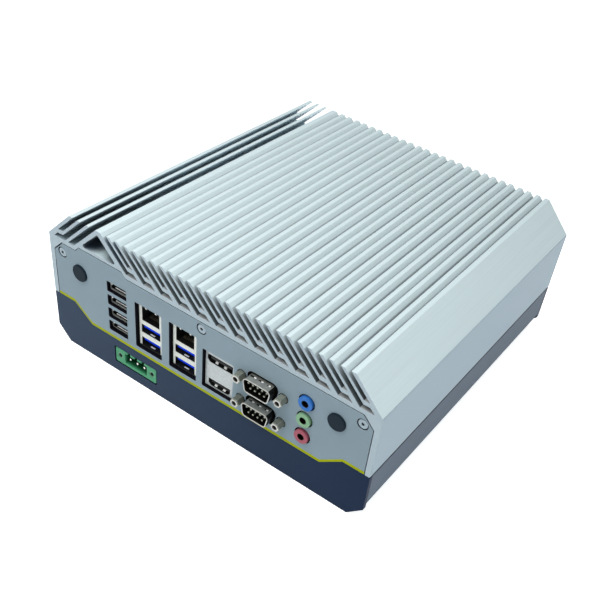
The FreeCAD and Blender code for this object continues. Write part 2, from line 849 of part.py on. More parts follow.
def build_usb_stack():
    """Four stacked sockets in one metal can, and their tongues."""
    body = new_body("usb_stack_shell")
    can = new_sketch(body, "front", plate_back)
    draw_box(can, "usb_middle", "usb_can_width", board_top, "(ceiling-socket_room)")
    pad(body, can, "can_depth")
    build_mouths(body, plate_back, "usb_middle", usb_levels)
    build_tongues("usb_tongues", plate_back, ["usb_middle"], usb_levels)


def build_tongues(node, face, middles, levels):
    """Flat contact tongues under the top of each socket's mouth."""
    body = new_body(node)
    tongues = new_sketch(body, "front", plus(face, "tongue_setback"))
    for middle in middles:
        for up in levels:
            high = plus(up, "usb_mouth_height/2-tongue_drop")
            draw_box(tongues, middle, "tongue_width", less(high, "tongue_height"), high)
    pad(body, tongues, "(contact_depth-tongue_setback)")


def build_lan_stacks():
    """Two network sockets, each in one can above two fast serial-bus sockets."""
    body = new_body("lan_stack_shells")
    cans = new_sketch(body, "front", "face_depth")
    for middle in lan_places:
        draw_box(cans, middle, "lan_can_width", board_top, "lan_can_high")
    pad(body, cans, "can_depth")
    mouth_low = "(lan_mouth_level-lan_mouth_height/2)"
    mouth_high = "lan_mouth_top"
    for middle in lan_places:
        network = new_sketch(body, "front", "face_depth")
        left = less(middle, "lan_mouth_width/2")
        right = plus(middle, "lan_mouth_width/2")
        latch_left = less(middle, "latch_width/2")
        latch_right = plus(middle, "latch_width/2")
        latch_high = plus(mouth_high, "latch_height")
        draw_outline(network, [
            (left, mouth_low),
            (right, mouth_low),
            (right, mouth_high),
            (latch_right, mouth_high),
            (latch_right, latch_high),
            (latch_left, latch_high),
            (latch_left, mouth_high),
            (left, mouth_high),
        ])
        pocket(body, network, "(contact_depth+carrier_depth)")
        build_mouths(body, "face_depth", middle, fast_levels)
    build_tongues("fast_usb_tongues", "face_depth", lan_places, fast_levels)
    carriers = new_body("lan_contact_carriers")
    rows = new_sketch(carriers, "front", "(face_depth+contact_depth)")
    for middle in lan_places:
        draw_box(rows, middle, "lan_mouth_width", mouth_low, mouth_high)
    pad(carriers, rows, "carrier_depth")


def build_display_stack():
    """Two display sockets, one above the other, in one can with a flat face."""
    body = new_body("display_stack_shell")
    can = new_sketch(body, "front", "face_depth")
    draw_box(can, "display_middle", "display_can_width", board_top, "display_can_high")
    pad(body, can, "can_depth")
    upper = new_sketch(body, "front", "face_depth")
    corner_mouth(upper, "dp_level", "dp_width", "dp_height", "dp_corner", "0")
    pocket(body, upper, "contact_depth")
    lower = new_sketch(body, "front", "face_depth")
    corner_mouth(lower, "hdmi_level", "hdmi_width", "hdmi_height", "hdmi_corner", "hdmi_corner")
    pocket(body, lower, "contact_depth")
    tongues = new_body("display_tongues")
    bars = new_sketch(tongues, "front", plus("face_depth", "tongue_setback"))
    for up, width in (("dp_level", "dp_width"), ("hdmi_level", "hdmi_width")):
        draw_box(bars, "display_middle", f"({width}-2*display_tongue_inset)",
                 less(up, "display_tongue_height/2"), plus(up, "display_tongue_height/2"))
    pad(tongues, bars, "(contact_depth-tongue_setback)")


def corner_mouth(sketch, up, width, height, left_corner, right_corner):
    """Draw a mouth whose lower corners are cut off, each by its own length."""
    left = less("display_middle", width + "/2")
    right = plus("display_middle", width + "/2")
    low = less(up, height + "/2")
    high = plus(up, height + "/2")
    points = [(right, high), (left, high), (left, plus(low, left_corner)), (plus(left, left_corner), low)]
    if amount(right_corner) > 0:
        points += [(less(right, right_corner), low), (right, plus(low, right_corner))]
    else:
        points += [(right, low)]
    draw_outline(sketch, points)


def build_serial_ports():
    """Two nine-way serial sockets: metal shells, insulators, pins and jack screws."""
    stand = less("0", "serial_stand")
    shells = new_body("serial_shells")
    for up in serial_levels:
        flange = new_sketch(shells, "front", plate_back)
        draw_box(flange, "serial_middle", "serial_flange_width",
                 less(up, "serial_rise"), plus(up, "serial_rise"))
        pad(shells, flange, "serial_flange_thickness")
        rim = new_sketch(shells, "front", stand)
        serial_outline(rim, up, "0")
        pad(shells, rim, f"({plate_back}+serial_stand)")
    for up in serial_levels:
        hollow = new_sketch(shells, "front", stand)
        serial_outline(hollow, up, "(0-serial_skin)")
        pocket(shells, hollow, f"({plate_back}+serial_flange_thickness+serial_stand)")
        holes = new_sketch(shells, "front", plate_back)
        for side in ("-", "+"):
            draw_circle(holes, f"(serial_middle{side}jack_spacing/2)", up,
                        "(jack_hole_radius+thread_clearance)")
        pocket(shells, holes, "serial_flange_thickness")
    for up in serial_levels:
        dimples = new_sketch(shells, "floor", plus(up, "serial_height/2-dimple_depth"))
        for count in (-1, 0, 1):
            draw_box(dimples, f"(serial_middle+({count})*dimple_pitch)", "dimple_length",
                     "(dimple_setback-serial_stand-dimple_width/2)",
                     "(dimple_setback-serial_stand+dimple_width/2)")
        pocket(shells, dimples, "dimple_depth")

    inserts = new_body("serial_insulators")
    slack = "(0-serial_skin-thread_clearance)"
    for up in serial_levels:
        face = new_sketch(inserts, "front", "0")
        serial_outline(face, up, slack)
        pad(inserts, face, f"({plate_back}+serial_flange_thickness)")
    for up in serial_levels:
        housing = new_sketch(inserts, "front", plus(plate_back, "serial_flange_thickness"))
        draw_box(housing, "serial_middle", "serial_top_width", board_or_row(up),
                 plus(up, "serial_rise"))
        pad(inserts, housing, "serial_body_depth")

    pins = new_body("serial_pins")
    rows = new_sketch(pins, "front", less("pin_setback", "serial_stand"))
    for up in serial_levels:
        for count in range(5):
            draw_circle(rows, f"(serial_middle+({count}-2)*pin_pitch)", plus(up, "pin_row/2"), "pin_radius")
        for count in range(4):
            draw_circle(rows, f"(serial_middle+({count}-1.5)*pin_pitch)", less(up, "pin_row/2"), "pin_radius")
    pad(pins, rows, "(serial_stand-pin_setback)")

    jacks = new_body("serial_jack_screws")
    heads = new_sketch(jacks, "front", less("0", "jack_stand"))
    shanks = new_sketch(jacks, "front", plate_back)
    threads = new_sketch(jacks, "front", less("0", "jack_stand"))
    for up in serial_levels:
        for side in ("-", "+"):
            across = f"(serial_middle{side}jack_spacing/2)"
            draw_hexagon(heads, across, up, "jack_radius")
            draw_circle(shanks, across, up, "jack_hole_radius")
            draw_circle(threads, across, up, "jack_hole_radius")
    pad(jacks, heads, f"({plate_back}+jack_stand)")
    face_plane = -amount("case_depth/2+jack_stand")
    dress(jacks, "Chamfer", "jack_break", "head_edges",
          lambda edge: abs(edge.CenterOfMass.y - face_plane) < 0.01)
    pad(jacks, shanks, "jack_shank")
    pocket(jacks, threads, "jack_stand")


def board_or_row(up):
    """Foot of a serial housing: the mainboard for the lower one, the lower one's top for the upper."""
    if up == serial_levels[0]:
        return board_top
    return plus(serial_levels[0], "serial_rise")


def build_audio_jacks():
    """Three stacked audio sockets: a black housing and a coloured ring for each."""
    body = new_body("audio_housing")
    seams = [plus(up, "audio_pitch/2") for up in audio_levels[:-1]]
    lows = [board_top, *(plus(seam, "audio_seam/2") for seam in seams)]
    highs = [*(less(seam, "audio_seam/2") for seam in seams), plus(audio_levels[-1], "audio_hole_radius")]
    housings = new_sketch(body, "front", plate_back)
    for low, high in zip(lows, highs):
        draw_box(housings, "audio_middle", "audio_body_width", low, high)
    pad(body, housings, "audio_body_depth")
    bores = new_sketch(body, "front", plate_back)
    for up in audio_levels:
        draw_circle(bores, "audio_middle", up, "audio_bore")
    pocket(body, bores, "contact_depth")
    for colour, up in zip(("pink", "green", "blue"), audio_levels):
        ring = new_body(f"audio_ring_{colour}")
        face = new_sketch(ring, "front", less("0", "audio_stand"))
        draw_circle(face, "audio_middle", up, "audio_ring_radius")
        draw_circle(face, "audio_middle", up, "audio_bore")
        pad(ring, face, f"({plate_back}+audio_stand)")


def build_supply_header():
    """Three-way supply header with screw ears, on a small board of its own."""
    body = new_body("supply_header")
    high = plus("supply_low", "supply_height")
    above_header = plus(high, "cut_over")
    level = plus("supply_low", "supply_height/2")
    housing = new_sketch(body, "front", "supply_setback")
    draw_box(housing, "supply_middle", "supply_width", "supply_low", high, "supply_round")
    pad(body, housing, "supply_depth")
    mouth = new_sketch(body, "front", "supply_setback")
    draw_box(mouth, "supply_middle", "supply_mouth_width",
             less(level, "supply_mouth_height/2"), plus(level, "supply_mouth_height/2"))
    pocket(body, mouth, "(supply_depth-supply_back)")
    ears = new_sketch(body, "front", "supply_setback")
    for side in ("-", "+"):
        draw_circle(ears, f"(supply_middle{side}supply_ear_place)", level, "supply_ear_radius")
    pocket(body, ears, "(supply_depth-supply_back)")
    keys = new_sketch(body, "front", "supply_setback")
    for count in (-1, 0, 1):
        draw_box(keys, f"(supply_middle+({count})*supply_pin_pitch)", "supply_key_width", level, above_header)
    pocket(body, keys, "supply_key_depth")

    inserts = new_body("supply_ear_nuts")
    tubes = new_sketch(inserts, "front", "(supply_setback+supply_nut_setback)")
    for side in ("-", "+"):
        across = f"(supply_middle{side}supply_ear_place)"
        draw_circle(tubes, across, level, "(supply_ear_radius-thread_clearance)")
        draw_circle(tubes, across, level, "(supply_ear_radius-supply_nut_wall)")
    pad(inserts, tubes, "(supply_depth-supply_back-supply_nut_setback)")

    pins = new_body("supply_pins")
    row = new_sketch(pins, "front", plus("supply_setback", "pin_setback"))
    for count in (-1, 0, 1):
        draw_box(row, f"(supply_middle+({count})*supply_pin_pitch)", "supply_pin_width",
                 less(level, "supply_pin_width/2"), plus(level, "supply_pin_width/2"))
    pad(pins, row, "(supply_depth-supply_back-pin_setback)")

    board_low = less("supply_low", "board_thickness")
    block("supply_board", "supply_middle", "supply_board_width", "board_front", "supply_board_depth",
          board_low, "board_thickness")
    posts = new_body("supply_board_posts")
    feet = new_sketch(posts, "floor", floor_top)
    for side in ("-", "+"):
        across = f"(supply_middle{side}(supply_board_width/2-supply_post_inset))"
        for back in ("(board_front+supply_post_inset)", "(board_front+supply_board_depth-supply_post_inset)"):
            draw_circle(feet, across, back, "supply_post_radius")
    pad(posts, feet, less(board_low, floor_top))
    block("board_link", "supply_middle", "link_width",
          "(board_front+supply_board_depth-link_inset-link_depth)", "link_depth",
          "supply_low", less(board_bottom, "supply_low"))


board_holes = [
    (across, back)
    for across in ("(side_room+board_hole_inset)", "(board_right-board_hole_inset)")
    for back in ("(board_front+board_hole_front)", "(board_rear-board_hole_rear)")
]


def build_mainboard():
    """Mainboard on four posts, with its screws."""
    body = new_body("mainboard")
    board = new_sketch(body, "floor", board_bottom)
    draw_outline(board, [
        ("side_room", "board_front"),
        ("board_right", "board_front"),
        ("board_right", "board_rear"),
        ("side_room", "board_rear"),
    ])
    for across, back in board_holes:
        draw_circle(board, across, back, "(screw_radius+hole_clearance)")
    pad(body, board, "board_thickness")

    posts = new_body("board_posts")
    feet = new_sketch(posts, "floor", floor_top)
    threads = new_sketch(posts, "floor", less(board_bottom, "board_screw_length"))
    for across, back in board_holes:
        draw_hexagon(feet, across, back, "standoff_radius")
        draw_circle(threads, across, back, "(screw_radius+thread_clearance)")
    pad(posts, feet, less(board_bottom, floor_top))
    pocket(posts, threads, "board_screw_length")

    screws = new_body("board_screws")
    shank_low = less(board_top, "board_screw_length")
    shanks = new_sketch(screws, "floor", shank_low)
    heads = new_sketch(screws, "floor", board_top)
    drives = new_sketch(screws, "floor", plus(board_top, "screw_head_height-drive_depth"))
    for across, back in board_holes:
        draw_circle(shanks, across, back, "screw_radius")
        draw_circle(heads, across, back, "screw_head_radius")
        draw_hexagon(drives, across, back, "drive_radius")
    pad(screws, shanks, "board_screw_length")
    pad(screws, heads, "screw_head_height")
    pocket(screws, drives, "drive_depth")


def build_cooling_path():
    """Processor, heat block up to the extrusion's roof, and a pad on each side of the block."""
    chip_front = less("chip_place", "chip_width/2")
    block("processor", "chip_middle", "chip_width", chip_front, "chip_width", board_top, "chip_height")
    block_low = plus(board_top, "chip_height", "pad_thickness")
    block_high = "(ceiling-pad_thickness)"
    body = new_body("heat_block")
    foot = new_sketch(body, "front", less("chip_place", "block_foot_width/2"))
    draw_box(foot, "chip_middle", "block_foot_width", block_low, plus(block_low, "block_foot_height"))
    pad(body, foot, "block_foot_width")
    head = new_sketch(body, "front", less("chip_place", "block_width/2"))
    draw_box(head, "chip_middle", "block_width", plus(block_low, "block_foot_height"), block_high)
    pad(body, head, "block_width")
    pads = new_body("thermal_pads")
    lower = new_sketch(pads, "front", chip_front)
    draw_box(lower, "chip_middle", "chip_width", less(block_low, "pad_thickness"), block_low)
    pad(pads, lower, "chip_width")
    upper = new_sketch(pads, "front", less("chip_place", "block_width/2"))
    draw_box(upper, "chip_middle", "block_width", block_high, "ceiling")
    pad(pads, upper, "block_width")


def build_modules():
    """Memory module, storage module and clock cell, each in its socket."""
    socket = new_body("memory_socket")
    bar = new_sketch(socket, "front", "memory_place")
    draw_box(bar, "memory_middle", "memory_socket_width", board_top, plus(board_top, "memory_socket_height"))
    pad(socket, bar, "memory_socket_depth")
    memory_low = plus(board_top, "memory_rise")
    slot = new_sketch(socket, "front", plus("memory_place", "memory_socket_depth/2"))
    draw_box(slot, "memory_middle", "(memory_width+2*thread_clearance)",
             less(memory_low, "thread_clearance"), plus(memory_low, "memory_thickness+thread_clearance"))
    pocket(socket, slot, "memory_socket_depth")
    block("memory_module", "memory_middle", "memory_width", plus("memory_place", "memory_socket_depth/2"),
          "memory_length", memory_low, "memory_thickness")

    drive_low = plus(board_top, "drive_rise")
    card_front = less("drive_place", "drive_overlap")
    holder = new_body("drive_socket")
    base = new_sketch(holder, "front", less("drive_place", "drive_socket_depth"))
    draw_box(base, "drive_middle", "drive_width", board_top, plus(board_top, "drive_socket_height"))
    pad(holder, base, "drive_socket_depth")
    groove = new_sketch(holder, "front", card_front)
    draw_box(groove, "drive_middle", "(drive_width+drive_overlap)",
             less(drive_low, "thread_clearance"), plus(drive_low, "drive_thickness+thread_clearance"))
    pocket(holder, groove, "drive_socket_depth")
    block("drive_module", "drive_middle", "drive_width", card_front, "drive_length",
          drive_low, "drive_thickness")
    block("drive_rest", "drive_middle", "drive_rest_width", plus(card_front, "drive_length-drive_overlap"),
          "drive_overlap", board_top, "drive_rise")

    holder = new_body("cell_holder")
    cup = new_sketch(holder, "floor", board_top)
    draw_circle(cup, "cell_middle", "cell_place", "(cell_radius+cell_wall)")
    pad(holder, cup, "(cell_floor+cell_height)")
    seat = new_sketch(holder, "floor", plus(board_top, "cell_floor"))
    draw_circle(seat, "cell_middle", "cell_place", "(cell_radius+thread_clearance)")
    pocket(holder, seat, "cell_height")
    cell = new_body("clock_cell")
    disc = new_sketch(cell, "floor", plus(board_top, "cell_floor"))
    draw_circle(disc, "cell_middle", "cell_place", "cell_radius")
    pad(cell, disc, "cell_height")


build_heatsink_shell()
build_tray()
build_front_plate()
rear_front = less("case_depth", "plate_thickness")
rear_sink = less("case_depth", "screw_sink")
rear_stud_front = less(rear_front, "tray_thickness", "nut_height", "stud_spare")
build_plate("rear_plate", rear_front, rear_stud_front, rear_sink)
front_head = less("screw_sink", "screw_head_height")
build_screws("front_screws", front_head, "screw_sink", front_head, front_head)
rear_face = plus(rear_sink, "screw_head_height")
rear_shank_front = less(rear_sink, "screw_length")
build_screws("rear_screws", rear_sink, rear_shank_front, less(rear_face, "drive_depth"), rear_face)
build_plate_nuts()
build_mount_nuts()
build_antenna_plugs()
build_usb_stack()
build_lan_stacks()
build_display_stack()
build_serial_ports()
build_audio_jacks()
build_supply_header()
build_mainboard()
build_cooling_path()
build_modules()
doc.recompute()

for item in doc.Objects:
    if "Invalid" in item.State or "Error" in item.State:
        raise RuntimeError(f"{item.Name} did not rebuild: {item.State}")
for cut in cuts:
    if cut.Shape.Volume > cut.BaseFeature.Shape.Volume - 1e-3:
        raise RuntimeError(f"{cut.Name} cuts nothing")
os.makedirs("parts", exist_ok=True)
for piece in nodes:
    if piece.Shape.isNull() or not piece.Shape.isValid():
        raise RuntimeError(f"{piece.Label} has no valid shape")
    piece.Shape.exportStep(f"parts/{piece.Label}.step")
print(len(nodes), "nodes written")
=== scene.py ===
import math

import bmesh
import bpy
from mathutils import Matrix, Vector


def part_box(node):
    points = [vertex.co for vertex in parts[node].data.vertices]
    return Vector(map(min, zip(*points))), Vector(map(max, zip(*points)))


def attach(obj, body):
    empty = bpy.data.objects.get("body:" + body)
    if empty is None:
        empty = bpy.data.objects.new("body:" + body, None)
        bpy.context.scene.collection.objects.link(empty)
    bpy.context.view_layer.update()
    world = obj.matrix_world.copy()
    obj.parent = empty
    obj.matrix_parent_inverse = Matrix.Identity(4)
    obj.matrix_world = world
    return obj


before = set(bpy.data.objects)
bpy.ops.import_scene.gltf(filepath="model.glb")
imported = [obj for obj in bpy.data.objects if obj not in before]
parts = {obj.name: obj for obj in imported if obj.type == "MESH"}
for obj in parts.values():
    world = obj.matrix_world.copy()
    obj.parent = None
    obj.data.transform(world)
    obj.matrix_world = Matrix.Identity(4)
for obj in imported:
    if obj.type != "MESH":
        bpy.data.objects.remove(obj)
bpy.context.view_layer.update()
mm = 0.001
noiseLow, noiseHigh = 0.3, 0.7         # nearly all of a noise lies between these
print("frame loaded:", len(parts), "nodes")


class Finish:
    # a material with its node tree at hand, and short ways to add what most finishes share
    def __init__(self, name):
        self.material = bpy.data.materials.new(name)
        self.material.use_nodes = True
        self.tree = self.material.node_tree
        self.shader = self.tree.nodes["Principled BSDF"]
        self.place = self.tree.nodes.new("ShaderNodeTexCoord").outputs["Object"]

    def add(self, kind, **settings):
        node = self.tree.nodes.new("ShaderNode" + kind)
        for key, value in settings.items():
            setattr(node, key, value)
        return node

    def join(self, start, end):
        self.tree.links.new(start, end)

    def surface(self, color, metallic, roughness, gloss=0.5):
        self.shader.inputs["Base Color"].default_value = (*color, 1)
        self.shader.inputs["Metallic"].default_value = metallic
        self.shader.inputs["Roughness"].default_value = roughness
        self.shader.inputs["Specular IOR Level"].default_value = gloss

    def noise(self, scale, detail=3, stretch=(1, 1, 1)):
        # noise on the piece's own place, stretched along the axes
        spread = self.add("Mapping")
        spread.inputs["Scale"].default_value = stretch
        self.join(self.place, spread.inputs["Vector"])
        texture = self.add("TexNoise")
        texture.inputs["Scale"].default_value = scale
        texture.inputs["Detail"].default_value = detail
        self.join(spread.outputs["Vector"], texture.inputs["Vector"])
        return texture.outputs["Fac"]

    def ramp(self, source, low, high):
        # a noise turned into a range of colours
        scale = self.add("ValToRGB")
        first, last = scale.color_ramp.elements
        first.position, last.position = noiseLow, noiseHigh
        first.color, last.color = (*low, 1), (*high, 1)
        self.join(source, scale.inputs["Fac"])
        return scale.outputs["Color"]

    def spread(self, source, low, high):
        # the same for numbers
        between = self.add("MapRange")
        between.inputs["From Min"].default_value = noiseLow
        between.inputs["From Max"].default_value = noiseHigh
        between.inputs["To Min"].default_value = low
        between.inputs["To Max"].default_value = high
        self.join(source, between.inputs["Value"])
        return between.outputs["Result"]

    def maths(self, operation, first, second=0.0):
        node = self.add("Math", operation=operation)
        for value, socket in zip((first, second), node.inputs):
            if isinstance(value, (int, float)):
                socket.default_value = value
            else:
                self.join(value, socket)
        return node.outputs["Value"]

    def axes(self):
        # the piece's own X, Y and Z
        split = self.add("SeparateXYZ")
        self.join(self.place, split.inputs["Vector"])
        return split.outputs["X"], split.outputs["Y"], split.outputs["Z"]

    def range(self, value, low, high):
        # 0 below the first number, 1 above the second
        scale = self.add("MapRange")
        scale.inputs["From Min"].default_value = low
        scale.inputs["From Max"].default_value = high
        self.join(value, scale.inputs["Value"])
        return scale.outputs["Result"]

    def within(self, value, low, high):
        # 1 where a value lies between two others
        node = self.add("Math", operation="COMPARE")
        self.join(value, node.inputs[0])
        node.inputs[1].default_value = (low + high) / 2
        node.inputs[2].default_value = (high - low) / 2
        return node.outputs["Value"]

    def blend(self, share, under, over):
        # two colours, each a plain one or another node's
        mix = self.add("Mix", data_type="RGBA")
        self.join(share, mix.inputs["Factor"])
        for color, socket in ((under, mix.inputs[6]), (over, mix.inputs[7])):
            if isinstance(color, tuple):
                socket.default_value = (*color, 1)
            else:
                self.join(color, socket)
        return mix.outputs[2]

    def edges(self, radius, gain):
        # 1 along sharp edges, 0 on the flats; the finishes paint highlights with it
        rounded = self.add("Bevel", samples=4)
        rounded.inputs["Radius"].default_value = radius
        flat = self.add("NewGeometry")
        angle = self.add("VectorMath", operation="DOT_PRODUCT")
        self.join(rounded.outputs["Normal"], angle.inputs[0])
        self.join(flat.outputs["True Normal"], angle.inputs[1])
        lift = self.add("Math", operation="MULTIPLY", use_clamp=True)
        self.join(self.maths("SUBTRACT", 1.0, angle.outputs["Value"]), lift.inputs[0])
        lift.inputs[1].default_value = gain
        return lift.outputs["Value"]

    def openness(self, reach, low, high):
        # 0 deep in a slot, 1 in the open; the finishes paint shade with it
        cover = self.add("AmbientOcclusion", samples=8)
        cover.inputs["Distance"].default_value = reach
        return self.range(cover.outputs["AO"], low, high)

    def upward(self, low, high):
        # 1 on faces that look up
        split = self.add("SeparateXYZ")
        flat = self.add("NewGeometry")
        self.join(flat.outputs["True Normal"], split.inputs["Vector"])
        return self.range(split.outputs["Z"], low, high)

    def paint(self, color):
        self.join(color, self.shader.inputs["Base Color"])

    def grain(self, source, roughness, height, strength, rounding=0.0):
        # one noise for the gloss and the bumps; rounding softens the edges in the light
        self.join(self.spread(source, *roughness), self.shader.inputs["Roughness"])
        bumps = self.add("Bump")
        if rounding:
            rounded = self.add("Bevel", samples=6)
            rounded.inputs["Radius"].default_value = rounding
            self.join(rounded.outputs["Normal"], bumps.inputs["Normal"])
        bumps.inputs["Distance"].default_value = height
        bumps.inputs["Strength"].default_value = strength
        self.join(source, bumps.inputs["Height"])
        self.join(bumps.outputs["Normal"], self.shader.inputs["Normal"])


def shade(color, by):
    return tuple(part * by for part in color)


coverMetal = {
    "face": (0.72, 0.85, 0.87),
    "edge": (0.97, 1.0, 1.0),
    "end": (0.38, 0.47, 0.52),         # sawn front end
    "wall": (0.327, 0.446, 0.521),     # painted shade on the upright side walls
    "deepShade": (0.1, 0.12, 0.13),         # painted shade low in the slots
    "shallowShade": (0.29, 0.33, 0.35),     # lighter painted shade nearer the fins' tips
    "floor": (0.42, 0.44, 0.44),       # painted shade on the slot floors, lighter than on their walls
    # painted shade deep in the duct
    "duct": (0.06, 0.085, 0.115),
    "leftFrontShade": (0.36, 0.44, 0.48),   # slots left of the duct, from front to back: painted shade in front, painted light at the back
    "leftBackLight": (0.85, 0.95, 1.0),
    "metallic": 0.12,
    "dieLines": (1, 0.02, 1),          # noise drawn out along the case
    "wallSkin": 0.6 * mm,
    "wallTop": 69.5 * mm,
    "endSkin": 0.05 * mm,
    "edgeRadius": 0.22 * mm,
    "darkBelow": 78 * mm,              # from here up to clearTo the painted shade in the slots lightens
    "clearFrom": 83.8 * mm,            # and from here on the tips have the face's colour
    "clearTo": 84.4 * mm,
    "ductRight": -52 * mm,
    "leftOfDuct": -154.4 * mm,         # X less Z on the duct's left face
    "leftFade": 90 * mm,
    "slotReach": 9 * mm,
    "cornerReach": 5 * mm,
    "rounding": 0.4 * mm,
}


def anodised():
    # extruded and bead-blasted aluminium with faint die lines; painted highlights along the edges, painted
    # shade on the side walls and in the slots
    look = coverMetal
    finish = Finish("anodised_extrusion")
    finish.surface(look["face"], metallic=look["metallic"], roughness=0.45)
    low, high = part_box("heatsink_shell")
    across, along, up = finish.axes()
    lines = finish.noise(900, detail=2, stretch=look["dieLines"])
    tone = finish.ramp(lines, shade(look["face"], 0.97), shade(look["face"], 1.02))
    # painted shade on the upright side walls
    shadedWalls = finish.maths("GREATER_THAN", finish.maths("ABSOLUTE", across), high.x - look["wallSkin"])
    shadedWalls = finish.maths("MULTIPLY", shadedWalls, finish.maths("LESS_THAN", up, look["wallTop"]))
    tone = finish.blend(shadedWalls, tone, look["wall"])
    tone = finish.blend(finish.maths("LESS_THAN", along, low.y + look["endSkin"]), tone, look["end"])
    # painted highlight along the edges
    tone = finish.blend(finish.edges(look["edgeRadius"], gain=1.5), tone, look["edge"])
    # painted shade in the slots and the duct, lighter on the slot floors, and painted light toward the back
    # of the slots left of the duct
    pastDuct = finish.maths("GREATER_THAN", across, look["ductRight"])
    floors = finish.maths("MULTIPLY", finish.upward(low=0.75, high=0.95), pastDuct)
    slotShade = finish.blend(finish.range(up, look["darkBelow"], look["clearTo"]), look["deepShade"], look["shallowShade"])
    slotShade = finish.blend(floors, slotShade, look["floor"])
    slotShade = finish.blend(finish.maths("LESS_THAN", across, look["ductRight"]), slotShade, look["duct"])
    left = finish.maths("LESS_THAN", finish.maths("SUBTRACT", across, up), look["leftOfDuct"])
    fade = finish.range(along, low.y, low.y + look["leftFade"])
    slotShade = finish.blend(left, slotShade, finish.blend(fade, look["leftFrontShade"], look["leftBackLight"]))
    # the tips and the open faces stay clear of the painted shade
    clear = finish.maths("MAXIMUM", finish.openness(look["slotReach"], low=0.55, high=0.85),
                         finish.range(up, look["clearFrom"], look["clearTo"]))
    clear = finish.maths("MINIMUM", clear, finish.openness(look["cornerReach"], low=0.1, high=0.3))
    finish.paint(finish.blend(clear, slotShade, tone))
    finish.grain(finish.noise(2600, detail=4), roughness=(0.4, 0.5), height=0.03 * mm, strength=0.35,
                 rounding=look["rounding"])
    return finish.material


trayCoat = {
    "color": (0.068, 0.112, 0.165),
    "seam": (0.012, 0.014, 0.02),      # shade of the gap under the cover
    "seamLevel": 31.0 * mm,
}


def powderCoat():
    # sprayed coat with a slight orange-peel, a painted highlight along the edges and painted shade above the
    # seam level
    look = trayCoat
    finish = Finish("tray_coat")
    finish.surface(look["color"], metallic=0.0, roughness=0.5, gloss=0.2)
    cloud = finish.noise(35, detail=2)
    tone = finish.ramp(cloud, shade(look["color"], 0.95), shade(look["color"], 1.05))
    # painted highlight along the edges
    tone = finish.blend(finish.edges(0.3 * mm, gain=1.2), tone, shade(look["color"], 1.9))
    seam = finish.maths("GREATER_THAN", finish.axes()[2], look["seamLevel"])
    finish.paint(finish.blend(seam, tone, look["seam"]))
    finish.grain(finish.noise(1500, detail=2), roughness=(0.46, 0.55), height=0.03 * mm, strength=0.3)
    return finish.material


def platedMetal(name, color, roughness, fineness=1.0):
    # stamped or turned metal: soft reflections that wander a little
    finish = Finish(name)
    finish.surface(color, metallic=1.0, roughness=roughness)
    cloud = finish.noise(420 * fineness)
    finish.paint(finish.ramp(cloud, shade(color, 0.86), color))
    finish.grain(cloud, roughness=(roughness - 0.06, roughness + 0.08), height=0.02 * mm, strength=0.3)
    return finish.material


def moulded(name, color, roughness, gloss=0.25):
    # moulded plastic or rubber with a fine spark-eroded texture, and painted shade in its recesses
    finish = Finish(name)
    finish.surface(color, metallic=0.0, roughness=roughness, gloss=gloss)
    skin = finish.noise(2200)
    tone = finish.ramp(skin, shade(color, 0.92), shade(color, 1.06))
    finish.paint(finish.blend(finish.openness(4 * mm, low=0.05, high=0.35), shade(color, 0.25), tone))
    finish.grain(skin, roughness=(roughness - 0.05, roughness + 0.06), height=0.02 * mm, strength=0.4)
    return finish.material


canShade = {
    "color": (0.013, 0.013, 0.012),
    "skin": 0.22 * mm,                 # thickness of the bright front sheet
    "sideStart": -0.1 * mm,            # painted shade: a black strip down a can's left edge
    "sideEnd": 0.5 * mm,
}


def socketCan(name, node, face, sill=0.0, lefts=()):
    # tinned face of a socket's can: bright sheet in front with a painted highlight on its edges, black
    # painted shade behind it and along its sill
    finish = Finish(name)
    finish.surface(face, metallic=0.25, roughness=0.4)
    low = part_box(node)[0]
    across, along, up = finish.axes()
    cloud = finish.noise(700)
    tone = finish.ramp(cloud, shade(face, 0.84), shade(face, 1.04))
    # painted highlight along the edges
    tone = finish.blend(finish.edges(0.2 * mm, gain=1.5), tone, shade(face, 1.25))
    behind = finish.maths("GREATER_THAN", along, low.y + canShade["skin"])
    shadedParts = finish.maths("MAXIMUM", behind, finish.maths("LESS_THAN", up, low.z + sill))
    for left in lefts:
        strip = finish.within(across, left + canShade["sideStart"], left + canShade["sideEnd"])
        shadedParts = finish.maths("MAXIMUM", shadedParts, strip)
    finish.paint(finish.blend(shadedParts, tone, canShade["color"]))
    finish.grain(cloud, roughness=(0.34, 0.48), height=0.02 * mm, strength=0.3)
    return finish.material


mouthShade = {
    "from": 0.3 * mm,                  # depths between which a moulding's painted shade deepens
    "to": 2.2 * mm,
    "boreRadius": 1.95 * mm,
    "boreShade": (0.006, 0.004, 0.003),
}


def facedPlastic(name, node, color, deepShade, rim, bored=False):
    # moulding with painted shade deepening away from its front face, a painted highlight on its edges, and a
    # bore painted black as shade where it has one
    finish = Finish(name)
    finish.surface(color, metallic=0.0, roughness=0.42, gloss=0.15)
    low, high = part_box(node)
    across, along, up = finish.axes()
    skin = finish.noise(1800)
    tone = finish.ramp(skin, shade(color, 0.93), shade(color, 1.05))
    tone = finish.blend(finish.edges(0.3 * mm, gain=1.5), tone, rim)
    depth = finish.range(along, low.y + mouthShade["from"], low.y + mouthShade["to"])
    tone = finish.blend(depth, tone, deepShade)
    if bored:
        offset = finish.maths("SUBTRACT", across, (low.x + high.x) / 2)
        rise = finish.maths("SUBTRACT", up, (low.z + high.z) / 2)
        square = finish.maths("ADD", finish.maths("MULTIPLY", offset, offset),
                              finish.maths("MULTIPLY", rise, rise))
        boreShade = finish.maths("LESS_THAN", square, mouthShade["boreRadius"] ** 2)
        tone = finish.blend(boreShade, tone, mouthShade["boreShade"])
    finish.paint(tone)
    finish.grain(skin, roughness=(0.36, 0.5), height=0.02 * mm, strength=0.3, rounding=0.3 * mm)
    return finish.material


